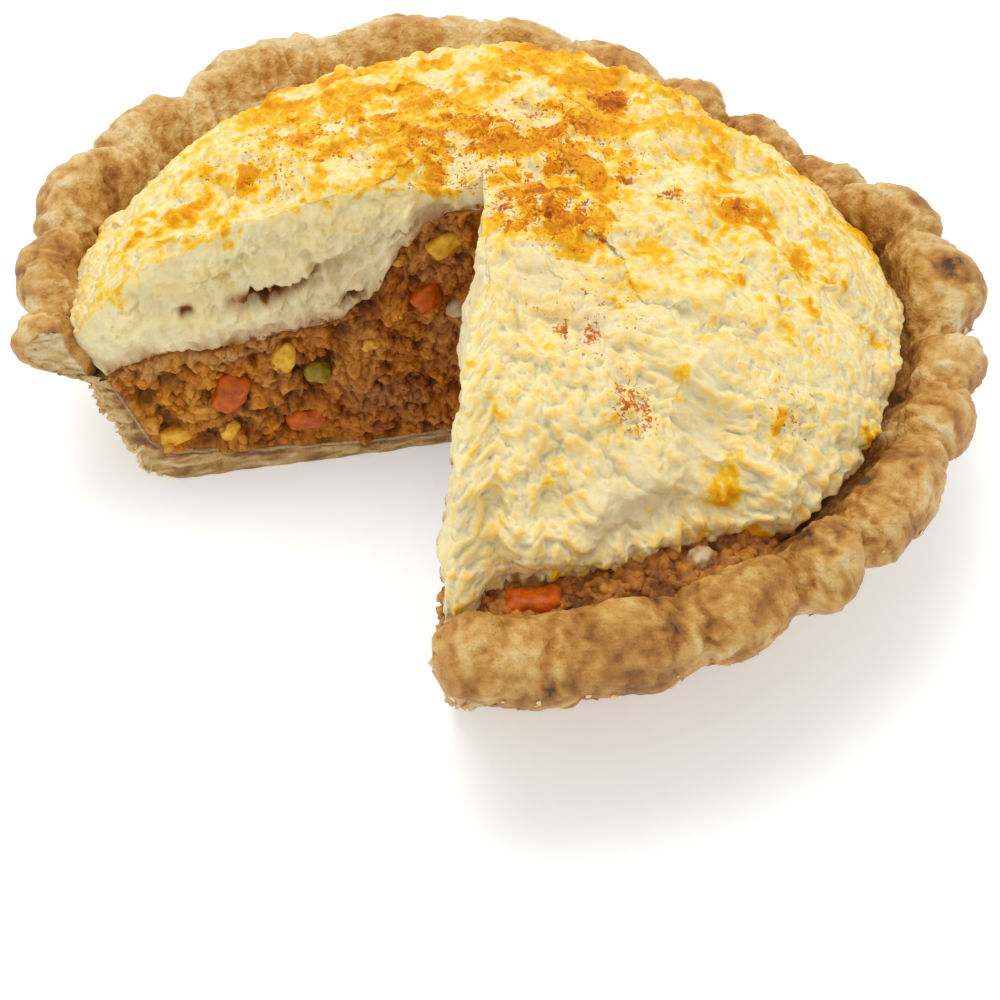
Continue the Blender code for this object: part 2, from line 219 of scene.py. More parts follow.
@dataclass(frozen=True)
class Plates:
    """Overlapping torn plates, as soft food spread with a spoon leaves them.

    Each plate is a tilted oval that falls off steeply at a ragged edge, and the highest one shows.
    It lies along the spoon's stroke, turned from it at random by up to the spread.
    """

    size: float
    rise: float
    tilt: float
    fall: float
    stretch: float
    spread: float
    seed: int

    def height(self, spots: Array) -> Array:
        """Return the plates' height at each spot of a flat pattern.

        Args:
            spots: Places on the pattern, with two columns.

        Returns:
            Heights, spread round zero.
        """
        base = np.floor(spots / self.size)
        best = np.full(len(spots), -1.5 * self.rise)
        for step in np.ndindex(5, 5):
            cell = base + np.array(step) - 2.0
            draw = [hashed(cell, self.seed + number) for number in range(6)]
            middle = (cell + 0.5 + 0.9 * (np.stack(draw[:2], 1) - 0.5)) * self.size
            apart = spots - middle
            heading = sum(share * turn for share, turn in zip(stroke_shares(middle), STROKES))
            heading = heading + self.spread * (2.0 * draw[2] - 1.0)
            along = apart[:, 0] * np.cos(heading) + apart[:, 1] * np.sin(heading)
            across = -apart[:, 0] * np.sin(heading) + apart[:, 1] * np.cos(heading)
            distance = np.hypot(along / self.stretch, across * self.stretch)
            radius = self.size * (0.42 + 0.30 * draw[3])
            level = self.rise * (2.0 * draw[4] - 1.0) + self.tilt * along * (2.0 * draw[5] - 1.0)
            level -= 0.35 * self.rise * (distance / radius) ** 2
            best = np.maximum(best, level - self.fall * np.maximum(distance - radius, 0.0))
        return best


# ---- Sizes that the looks share with the solids ----


@dataclass(frozen=True)
class PieShape:
    """The pie's main form: its cut, pastry rim, filling and potato, and where its axis stands."""

    axis: tuple[float, float] = (-0.0035961, -0.0005751)
    inmost: float = 0.010
    apex: tuple[float, float] = (-0.0017, -0.0026)
    cut_start: float = 191.4
    cut_end: float = -94.8

    foot_radius: float = 0.0870
    foot_corner: float = 0.0120
    flare: float = 0.3135
    wall_thickness: float = 0.0062
    inner_wall: float = 0.0883
    under_rim: float = 0.0380
    floor: float = 0.0050
    floor_rise: float = 0.0062
    floor_edge: float = 0.0890
    inner_corner: float = 0.0160
    shelf: float = 0.0410

    rim_middle: float = 0.1150
    rim_level: float = 0.0490
    rim_tube: float = 0.0056
    crimp_swell: float = 0.0048
    crimp_bluntness: float = 0.8
    crimp_lean: float = 0.38
    mouth_inset: float = 0.0085
    mouth_drop: float = 0.0010
    mouth_overhang: float = 0.0024
    height_waves: tuple = ((0.0034, 1, 180.0), (0.0023, 2, 55.6))
    radius_waves: tuple = ((0.0024, 2, 74.0), (0.0016, 3, 0.0))
    slump: tuple = (40.0, 16.0, 0.0060)
    # The pinches, clockwise: azimuth, how deep the pinch is, and how full the swelling after it is.
    crimps: tuple = (
        (200.0, 1.0, 0.9), (185.5, 1.3, 0.9), (170.0, 1.0, 1.4), (152.0, 1.1, 0.6), (137.0, 1.8, 1.0),
        (115.5, 0.8, 1.2), (92.0, 0.35, 1.4), (78.0, 0.6, 1.0), (61.5, 1.3, 0.9), (50.0, 1.6, 0.9),
        (37.0, 1.3, 0.5), (27.0, 1.1, 1.9), (13.5, 0.7, 2.0), (-5.0, 1.3, 0.8), (-15.5, 1.0, 0.8),
        (-24.5, 1.2, 0.9), (-41.0, 1.2, 0.9), (-51.0, 1.2, 1.0), (-66.0, 0.5, 1.1), (-82.5, 0.2, 1.0),
        (-99.0, 1.0, 1.0),
    )

    dome_edge: float = 0.0450
    dome_rise: float = 0.0370
    dome_radius: float = 0.0270
    cap_top: float = 0.0935
    cap_roundness: float = 0.45
    cap_above_rim: float = 0.0045
    cap_edge_depth: float = 0.0030
    cap_ragged: float = 0.0018
    lump_height: float = 0.0036
    lump_size: float = 0.0210
    sunk_edge: tuple = (125.0, 45.0, 0.0090)
    bare: tuple = (266.0, 273.0, 304.0, 317.0, 0.0125)
    gap: float = 0.0004

    def from_axis(self, places: Array) -> Array:
        """Return places as seen from the pie's axis."""
        return places - np.array([*self.axis, 0.0])

    def apex_place(self) -> Array:
        """Return the apex's place on the ground."""
        zero = np.zeros(1)
        return self.place(zero, zero, zero)[0]

    def azimuths(self, count: int) -> Array:
        """Return evenly spaced azimuths from one cut face round to the other."""
        return np.linspace(self.cut_end, self.cut_start, count)

    def waves(self, terms: tuple, azimuth: Array) -> Array:
        """Return the sum of these waves round the pie: size, waves per turn, and start."""
        return sum(size * np.cos(np.radians(count * azimuth + start)) for size, count, start in terms)

    def bareness(self, azimuth: Array) -> Array:
        """Return how far the filling lies bare outside the potato at each azimuth, from 0 to 1."""
        return ease(-93.0, -86.0, azimuth) * (1.0 - ease(-52.0, -38.0, azimuth))

    def bell(self, patch: tuple, azimuth: Array) -> Array:
        """Return the effect here of a patch with this middle azimuth, half width and full effect."""
        apart = (azimuth - patch[0] + 180.0) % WHOLE_TURN - 180.0
        return patch[2] * np.exp(-((apart / patch[1]) ** 2))

    def rim_height(self, azimuth: Array) -> Array:
        """Return the height of the rim's core."""
        return self.rim_level + self.waves(self.height_waves, azimuth)

    def rim_radius(self, azimuth: Array) -> Array:
        """Return the radius of the rim's core."""
        return self.rim_middle + self.waves(self.radius_waves, azimuth) - self.bell(self.slump, azimuth)

    def crimp_at(self, azimuth: Array) -> tuple[Array, Array]:
        """Say where on the crimped rim an azimuth lies.

        Args:
            azimuth: Azimuths.

        Returns:
            The place counted in crimps from the first pinch, and how full the rim is there.
        """
        pinches = np.array([pinch for pinch, _, _ in self.crimps])
        fullness = np.array([full for _, _, full in self.crimps])
        place = pinches[0] - (pinches[0] - azimuth) % WHOLE_TURN
        index = np.clip(np.searchsorted(-pinches, -place, side="right") - 1, 0, len(pinches) - 2)
        share = (pinches[index] - place) / (pinches[index] - pinches[index + 1])
        neighbour = fullness[np.clip(np.where(share > 0.5, index + 1, index - 1), 0, len(pinches) - 1)]
        return index + share, fullness[index] + (neighbour - fullness[index]) * np.abs(share - 0.5)

    def swelling(self, crimp: Array, around: float) -> Array:
        """Return how full the rim is at an angle round its section, 1 on a crest, less at a pinch."""
        lean = self.crimp_lean * np.sin(1.16 * crimp - 1.92)
        place = crimp + lean * (0.5 - around / 180.0)
        depth = np.array([deep for _, deep, _ in self.crimps])
        nearest = np.clip(np.rint(place).astype(int), 0, len(depth) - 1)
        return 1.0 - depth[nearest] * (1.0 - np.abs(np.sin(math.pi * place)) ** self.crimp_bluntness)

    def inner_radius(self, height: Array) -> Array:
        """Return the radius of the case's inner wall at a height."""
        return self.inner_wall + self.flare * height

    def mouth_radius(self, azimuth: Array) -> Array:
        """Return the radius of the rim's inner edge."""
        inner = self.rim_radius(azimuth) - self.mouth_inset
        return np.maximum(inner, self.inner_radius(self.shelf) - self.mouth_overhang)

    def case_radius(self, azimuth: Array, height: Array) -> Array:
        """Return the radius of the case's inner side from the shelf up to its mouth and above it."""
        shelf_radius = self.inner_radius(self.shelf)
        share = (height - self.shelf) / (self.rim_height(azimuth) - self.mouth_drop - self.shelf)
        return shelf_radius + (self.mouth_radius(azimuth) - shelf_radius) * np.clip(share, 0.0, 1.0)

    def floor_height(self, radius: Array) -> Array:
        """Return the height of the case's floor."""
        return self.floor + self.floor_rise * (radius / self.foot_radius) ** 3

    def dome_height(self, radius: Array) -> Array:
        """Return the height of the surface where potato meets filling."""
        dome = self.dome_edge + self.dome_rise / (1.0 + (radius / self.dome_radius) ** 4)
        wall = self.inner_radius(self.shelf) - self.gap
        share = ease(0.085, wall, radius) * 0.5 + np.clip((radius - 0.085) / (wall - 0.085), 0.0, 1.0) * 0.5
        return dome + (self.shelf + self.gap - dome) * share

    def cap_edge_height(self, azimuth: Array) -> Array:
        """Return the height of the potato's edge."""
        return self.rim_height(azimuth) + self.cap_above_rim - self.bell(self.sunk_edge, azimuth)

    def cap_edge_radius(self, azimuth: Array) -> Array:
        """Return the radius where the potato ends."""
        turn = np.radians(azimuth)
        ragged = np.array(
            [noise.noise((3.1 * math.cos(at), 3.1 * math.sin(at), 7.0)) for at in turn.ravel()]
        ).reshape(azimuth.shape)
        start, drawn, back, end, depth = self.bare
        place = azimuth % WHOLE_TURN
        bare = ease(start, drawn, place) * (1.0 - ease(back, end, place))
        wall = self.case_radius(azimuth, self.cap_edge_height(azimuth) - self.cap_edge_depth)
        return wall - 2.0 * self.gap - self.cap_ragged * (0.5 + ragged) - depth * bare

    def reach(self, azimuth: Array, radius: Array) -> Array:
        """Return how far from the apex a ray at this azimuth comes to this radius from the axis.

        Inside the innermost ring the rows close in on the apex evenly, so that none of them cross.
        """
        turn = np.radians(azimuth)
        lead = self.apex[0] * np.cos(turn) + self.apex[1] * np.sin(turn)
        inside = lead**2 + np.maximum(radius, self.inmost) ** 2 - self.apex[0] ** 2 - self.apex[1] ** 2
        return (np.sqrt(inside) - lead) * np.minimum(radius / self.inmost, 1.0)

    def place(self, azimuth: Array, reach: Array, height: Array) -> Array:
        """Return places in the row frame.

        Args:
            azimuth: Azimuths seen from the apex.
            reach: How far from the apex.
            height: Heights.

        Returns:
            One place in each row.
        """
        turn = np.radians(azimuth)
        shape = np.broadcast(turn, reach, height).shape
        made = np.empty((*shape, 3))
        made[..., 0] = self.axis[0] + self.apex[0] + reach * np.cos(turn)
        made[..., 1] = self.axis[1] + self.apex[1] + reach * np.sin(turn)
        made[..., 2] = height
        return made

    def radius_of(self, places: Array) -> Array:
        """Return how far places in the row frame are from the pie's axis."""
        return np.hypot(places[..., 0] - self.axis[0], places[..., 1] - self.axis[1])

    def cap_height(self, azimuth: Array, reach: Array) -> Array:
        """Return the height of the potato's main form at an azimuth and reach from the apex."""
        flat = self.place(azimuth, reach, np.zeros_like(reach)) - np.array([*self.axis, 0.0])
        radius = np.hypot(flat[..., 0], flat[..., 1])
        share = np.clip(radius / self.cap_edge_radius(azimuth), 0.0, 1.0)
        fall = self.cap_roundness * share**2 + (1.0 - self.cap_roundness) * share**5
        crest = np.array([noise.noise(spot) for spot in (flat.reshape(-1, 3) / self.lump_size).tolist()])
        crest = 1.0 - 2.0 * np.abs(crest).reshape(radius.shape)
        lumps = self.lump_height * (crest - 0.5) * (1.0 - 0.5 * share**6)
        return self.cap_top + (self.cap_edge_height(azimuth) - self.cap_top) * fall + lumps


# ---- Meshes ----


class Region(Enum):
    """Which part of a piece a vertex lies on."""

    OUTSIDE = 0
    CUT = 1
    HIDDEN = 2


@dataclass
class Skin:
    """A closed skin put together from rows of vertices, with a flat pattern place for each vertex."""

    places: list[Array] = field(default_factory=list)
    patterns: list[Array] = field(default_factory=list)
    regions: list[Array] = field(default_factory=list)
    triangles: list[Array] = field(default_factory=list)
    count: int = 0

    def row(self, places: Array, region: Region, pattern: Array | None = None) -> Array:
        """Add a row of vertices.

        Args:
            places: Their places, one in each row.
            region: The part of the piece that they lie on.
            pattern: Their two pattern coordinates, or None for plain X and Y.

        Returns:
            The new vertices' numbers.
        """
        self.places.append(places)
        self.patterns.append(places[:, :2] if pattern is None else pattern)
        self.regions.append(np.full(len(places), region.value))
        self.count += len(places)
        return np.arange(self.count - len(places), self.count)

    def join(self, first: Array, second: Array, first_at: Array, second_at: Array) -> None:
        """Fill the strip between two rows with triangles.

        Args:
            first: Vertex numbers of one row.
            second: Vertex numbers of the other.
            first_at: How far along its row each vertex of the first lies, from 0 to 1.
            second_at: The same for the second.
        """
        if len(first) > 1:
            other = np.searchsorted(second_at[1:], first_at[1:] - 1e-9, side="left")
            other = np.minimum(other, len(second) - 1)
            self.triangles.append(np.stack([first[:-1], first[1:], second[other]], 1))
        if len(second) > 1:
            other = np.searchsorted(first_at[1:] - 1e-9, second_at[1:], side="right")
            other = np.minimum(other, len(first) - 1)
            self.triangles.append(np.stack([first[other], second[1:], second[:-1]], 1))

    def join_even(self, first: Array, second: Array) -> None:
        """Fill the strip between two rows whose vertices are evenly spread."""
        self.join(first, second, np.linspace(0.0, 1.0, len(first)), np.linspace(0.0, 1.0, len(second)))

    def mesh(self, name: str) -> Mesh:
        """Return the skin as a mesh whose faces point outwards.

        Args:
            name: The mesh's name.

        Returns:
            The new mesh, with its vertices in the order in which they were added.
        """
        places = np.concatenate(self.places)
        triangles = np.concatenate(self.triangles)
        distinct = (triangles != np.roll(triangles, 1, axis=1)).all(axis=1)
        triangles = triangles[distinct]
        made = bpy.data.meshes.new(name)
        made.vertices.add(len(places))
        made.vertices.foreach_set("co", places.astype(np.float32).ravel())
        made.loops.add(triangles.size)
        made.loops.foreach_set("vertex_index", triangles.astype(np.int32).ravel())
        made.polygons.add(len(triangles))
        made.polygons.foreach_set("loop_start", np.arange(0, triangles.size, 3, dtype=np.int32))
        made.update(calc_edges=True)
        work = bmesh.new()
        work.from_mesh(made)
        bmesh.ops.recalc_face_normals(work, faces=work.faces[:])
        work.to_mesh(made)
        work.free()
        made.shade_smooth()
        return made

    def pattern(self) -> Array:
        """Return every vertex's pattern coordinates."""
        return np.concatenate(self.patterns)

    def region(self) -> Array:
        """Return every vertex's region number."""
        return np.concatenate(self.regions)


def places_of(mesh: Mesh) -> Array:
    """Return a mesh's vertex places, one in each row."""
    found = np.empty(len(mesh.vertices) * 3, dtype=np.float32)
    mesh.vertices.foreach_get("co", found)
    return found.reshape(-1, 3).astype(np.float64)


def normals_of(mesh: Mesh) -> Array:
    """Return a mesh's vertex normals, one in each row."""
    found = np.empty(len(mesh.vertices) * 3, dtype=np.float32)
    mesh.vertex_normals.foreach_get("vector", found)
    return found.reshape(-1, 3).astype(np.float64)


def set_places(mesh: Mesh, places: Array) -> None:
    """Move a mesh's vertices to these places."""
    mesh.vertices.foreach_set("co", places.astype(np.float32).ravel())
    mesh.update()


def set_number(mesh: Mesh, name: str, values: Array) -> None:
    """Store one number for each vertex, for a material to read."""
    kept = mesh.attributes.new(name, "FLOAT", "POINT")
    kept.data.foreach_set("value", values.astype(np.float32))


def add_piece(name: str, mesh: Mesh, material: Material) -> Piece:
    """Link a finished piece into the scene.

    Args:
        name: The piece's name.
        mesh: Its mesh, with its place in it.
        material: Its finish.

    Returns:
        The piece, at the origin.
    """
    mesh.materials.clear()
    mesh.materials.append(material)
    piece = bpy.data.objects.new(name, mesh)
    bpy.context.scene.collection.objects.link(piece)
    return piece


# ---- Materials ----


def add_node(
    tree: Tree, kind: str, settings: dict | None = None, links: dict | None = None
) -> bpy.types.Node:
    """Add a node with its settings and its links.

    Args:
        tree: The node tree.
        kind: The node's type name.
        settings: Property names or input names and their values.
        links: Input names or numbers and the output sockets that feed them.

    Returns:
        The new node.
    """
    node = tree.nodes.new(kind)
    for key, value in (settings or {}).items():
        if isinstance(key, str) and hasattr(node, key) and key not in node.inputs:
            setattr(node, key, value)
        else:
            node.inputs[key].default_value = value
    for key, socket in (links or {}).items():
        tree.links.new(socket, node.inputs[key])
    return node


class Paint:
    """A material in the making: its node tree, its Principled shader, and what paints them."""

    def __init__(self, name: str, roughness: float) -> None:
        """Start a material with this name and roughness."""
        self.material = bpy.data.materials.new(name)
        self.material.use_nodes = True
        self.tree = self.material.node_tree
        self.shader = self.tree.nodes["Principled BSDF"]
        self.set({"Roughness": roughness})

    def set(self, values: dict[str, object]) -> None:
        """Set these inputs of the shader."""
        for name, value in values.items():
            self.shader.inputs[name].default_value = value

    def feed(self, name: str, source: Socket) -> None:
        """Feed an input of the shader from a socket."""
        self.tree.links.new(source, self.shader.inputs[name])

    def number(self, name: str) -> Socket:
        """Return a number that the mesh holds for each vertex."""
        return add_node(self.tree, "ShaderNodeAttribute", {"attribute_name": name}).outputs["Fac"]

    def grain(self, size: float, detail: float = 3.0) -> Socket:
        """Return noise on the piece's own coordinates.

        Args:
            size: The noise's coarsest waves.
            detail: How many finer layers it has.

        Returns:
            A number from 0 to 1.
        """
        place = add_node(self.tree, "ShaderNodeTexCoord").outputs["Object"]
        waves = {"Scale": 1.0 / size, "Detail": detail, "Roughness": GRAIN_ROUGHNESS}
        return add_node(self.tree, "ShaderNodeTexNoise", waves, {"Vector": place}).outputs["Fac"]

    def sharpen(self, source: Socket, low: float, high: float) -> Socket:
        """Spread the range from low to high over 0 to 1."""
        span = {"From Min": low, "From Max": high}
        return add_node(self.tree, "ShaderNodeMapRange", span, {"Value": source}).outputs["Result"]

    def fill(self, node: bpy.types.Node, values: dict[int, object]) -> None:
        """Give a node's inputs their numbers, hex colours or sockets."""
        for index, value in values.items():
            if isinstance(value, Socket):
                self.tree.links.new(value, node.inputs[index])
            else:
                node.inputs[index].default_value = linear(value) if isinstance(value, str) else value

    def maths(self, operation: str, first: object, second: object) -> Socket:
        """Return a sum on two numbers or sockets, kept between 0 and 1."""
        node = add_node(self.tree, "ShaderNodeMath", {"operation": operation, "use_clamp": True})
        self.fill(node, {0: first, 1: second})
        return node.outputs[0]

    def mix(self, share: object, below: object, above: object) -> Socket:
        """Mix two colours.

        Args:
            share: How much of the second, as a number or a socket.
            below: The first colour, as hex or a socket.
            above: The second colour, as hex or a socket.

        Returns:
            The mixed colour.
        """
        node = add_node(self.tree, "ShaderNodeMix", {"data_type": "RGBA"})
        self.fill(node, {0: share, 6: below, 7: above})
        return node.outputs[2]

    def ramp(self, source: Socket, stops: tuple) -> Socket:
        """Colour a number by a ramp.

        Args:
            source: The number.
            stops: Pairs of place and hex colour.

        Returns:
            The colour.
        """
        node = add_node(self.tree, "ShaderNodeValToRGB", {}, {"Fac": source})
        ramp = node.color_ramp
        while len(ramp.elements) < len(stops):
            ramp.elements.new(0.5)
        for element, (place, colour) in zip(ramp.elements, stops):
            element.position = place
            element.color = linear(colour)
        return node.outputs["Color"]

    def glow(self, weight: float, radius: tuple, scale: float) -> None:
        """Let light through the food: how much, and how deep it goes for each colour."""
        self.set({"Subsurface Weight": weight, "Subsurface Radius": radius, "Subsurface Scale": scale})

    def bump(self, source: Socket, depth: float) -> None:
        """Raise the surface a little by a number from 0 to 1, this deep."""
        made = add_node(self.tree, "ShaderNodeBump", {"Distance": depth, "Strength": 1.0}, {"Height": source})
        self.feed("Normal", made.outputs[0])


@dataclass(frozen=True)
class BakedPastry:
    """Egg-washed shortcrust: glossy golden tan with browner swellings and painted shade in its hollows, pale
    and porous where cut.
    """

    name: str = "shortcrust pastry, baked"
    roughness: float = 0.46
    skin: tuple = (
        (0.0, "E9CD94"), (0.22, "DFB56C"), (0.42, "D09A48"), (0.60, "BB7F30"), (0.78, "A2671E"),
        (0.92, "875114"), (1.0, "55320A"),
    )
    inside: tuple = ((0.10, "7A4A1A"), (0.35, "B07E3E"), (0.55, "D0A866"), (0.75, "E2C58E"), (1.0, "EEDAAE"))

    def material(self) -> Material:
        """Return the material."""
        paint = Paint(self.name, self.roughness)
        wrinkles = paint.maths("PINGPONG", paint.grain(6.0 * MM, 5.0), 0.5)
        mottle = paint.maths("MULTIPLY", paint.grain(3.2 * MM, 9.0), 0.90)
        # Wrinkle hollows come out darker than their crests: painted shade.
        mottle = paint.maths("SUBTRACT", mottle, paint.maths("MULTIPLY", wrinkles, 1.1))
        skin = paint.ramp(paint.maths("ADD", paint.number("baked"), mottle), self.skin)
        crumb = paint.mix(0.35, paint.number("crumb"), paint.grain(1.6 * MM, 6.0))
        paint.feed("Base Color", paint.mix(paint.number("cut"), skin, paint.ramp(crumb, self.inside)))
        height = paint.maths("MULTIPLY", paint.grain(1.7 * MM, 8.0), 0.70)
        paint.bump(paint.maths("ADD", height, wrinkles), 2.2 * MM)
        return paint.material


@dataclass(frozen=True)
class CookedMince:
    """Stewed minced meat: crumbs of several browns with a thin fatty shine, and painted shade dark between
    them.
    """

    name: str = "minced meat, stewed"
    roughness: float = 0.48
    meat: tuple = ((0.16, "602C02"), (0.34, "9A5004"), (0.50, "BC6E10"), (0.66, "D68E1C"), (0.90, "EAB85C"))
    fat: str = "C4945C"
    hollow_shade_colour: str = "3D1C04"

    def material(self) -> Material:
        """Return the material."""
        paint = Paint(self.name, self.roughness)
        colour = paint.ramp(paint.mix(0.50, paint.number("tone"), paint.grain(1.8 * MM, 5.0)), self.meat)
        colour = paint.mix(paint.number("pale"), colour, self.fat)
        # Holes and cracks take the dark colour: painted shade.
        paint.feed("Base Color", paint.mix(paint.number("hollow"), colour, self.hollow_shade_colour))
        paint.set({"Specular IOR Level": 0.22})
        paint.bump(paint.grain(1.3 * MM, 7.0), 0.55 * MM)
        return paint.material


@dataclass(frozen=True)
class BrownedPotato:
    """Mashed potato from the oven: soft cream, warm on its ridges with painted shade in its hollows, orange
    and rust where it browned.
    """

    name: str = "mashed potato, browned"
    roughness: float = 0.58
    mash: tuple = ((0.12, "D8C99C"), (0.30, "E6D8AC"), (0.46, "F1E2AE"), (0.62, "F3D992"), (0.88, "EFC55C"))
    wet: str = "E4D5AE"
    toast: tuple = (
        (0.0, "F4D468"), (0.20, "F2C630"), (0.42, "EBAC06"), (0.60, "DA8C00"), (0.80, "B85C00"),
        (1.0, "8A4202"),
    )
    spice: tuple = ((0.35, "A24A00"), (0.60, "DA7E02"))
    gravy: tuple = ((0.0, "C9A878"), (0.55, "A8743A"), (0.80, "8A5518"), (1.0, "5E3208"))

    def material(self) -> Material:
        """Return the material."""
        paint = Paint(self.name, self.roughness)
        # The cream is greyer and darker in the hollows, as painted shade, and warmer yellow on the ridges.
        cream = paint.ramp(paint.mix(0.32, paint.number("ridge"), paint.grain(4.0 * MM, 4.0)), self.mash)
        cream = paint.mix(paint.number("damp"), cream, self.wet)
        fine = paint.maths("MULTIPLY", paint.grain(2.2 * MM, 7.0), 0.9)
        toasted = paint.maths("SUBTRACT", paint.maths("ADD", paint.number("browned"), fine), 0.45)
        colour = paint.mix(paint.sharpen(toasted, 0.06, 0.26), cream, paint.ramp(toasted, self.toast))
        for size, high in ((0.9 * MM, 0.74), (1.9 * MM, 0.78)):
            # Ground paprika lies in grains too fine to draw, so the specks stand for little heaps of it.
            level = paint.maths("MULTIPLY_ADD", paint.number("spice"), 0.36)
            paint.fill(level.node, {2: paint.grain(size, 2.5)})
            specks = paint.maths("MULTIPLY", paint.sharpen(level, high, high + 0.05), 0.92)
            colour = paint.mix(specks, colour, paint.ramp(paint.grain(2.3 * MM), self.spice))
        # Gravy stains, and painted shade inside the slits of the cut faces.
        stain = paint.number("stain")
        colour = paint.mix(paint.sharpen(stain, 0.0, 0.85), colour, paint.ramp(stain, self.gravy))
        paint.feed("Base Color", colour)
        paint.glow(0.45, (0.85, 0.72, 0.45), 1.8 * MM)
        paint.set({"Specular IOR Level": 0.2})
        paint.bump(paint.grain(1.3 * MM, 6.0), 0.45 * MM)
        return paint.material


@dataclass(frozen=True)
class Mottled:
    """A food of one mottled colour, dry or with a soft wet shine and some depth."""

    name: str
    roughness: float
    stops: tuple
    mottle: float
    detail: float
    shine: float = 0.5
    glow: float = 0.0
    grain: float = 0.0

    def material(self) -> Material:
        """Return the material."""
        paint = Paint(self.name, self.roughness)
        paint.feed("Base Color", paint.ramp(paint.grain(self.mottle, self.detail), self.stops))
        paint.set({"Specular IOR Level": self.shine})
        if self.glow:
            paint.glow(self.glow, (1.0, 0.55, 0.25), 1.5 * MM)
        if self.grain:
            paint.bump(paint.grain(1.0 * MM, 3.0), self.grain)
        return paint.material


def cooked_vegetable(name: str, roughness: float, dark: str, light: str, glow: float) -> Mottled:
    """Return the finish of a cooked vegetable: wet and slightly mottled, with a soft shine."""
    stops = ((0.30, dark), (0.70, light))
    return Mottled(name, roughness, stops, 2.4 * MM, 4.0, 0.25, glow, 0.12 * MM)


# Thin baked flakes are dry and pale, a little browner at random. Toasted paprika is dry and rust-brown.
FLAKES = Mottled(
    "shortcrust flakes, baked", 0.62, ((0.30, "CE9E5C"), (0.50, "E6C088"), (0.70, "F4DEB0")), 4.0 * MM, 3.0
)
PAPRIKA = Mottled(
    "paprika, toasted", 0.80, ((0.30, "8E4602"), (0.52, "BE6804"), (0.72, "E08E0A")), 2.0 * MM, 4.0
)


# ---- Loose bits, scattered over a piece ----


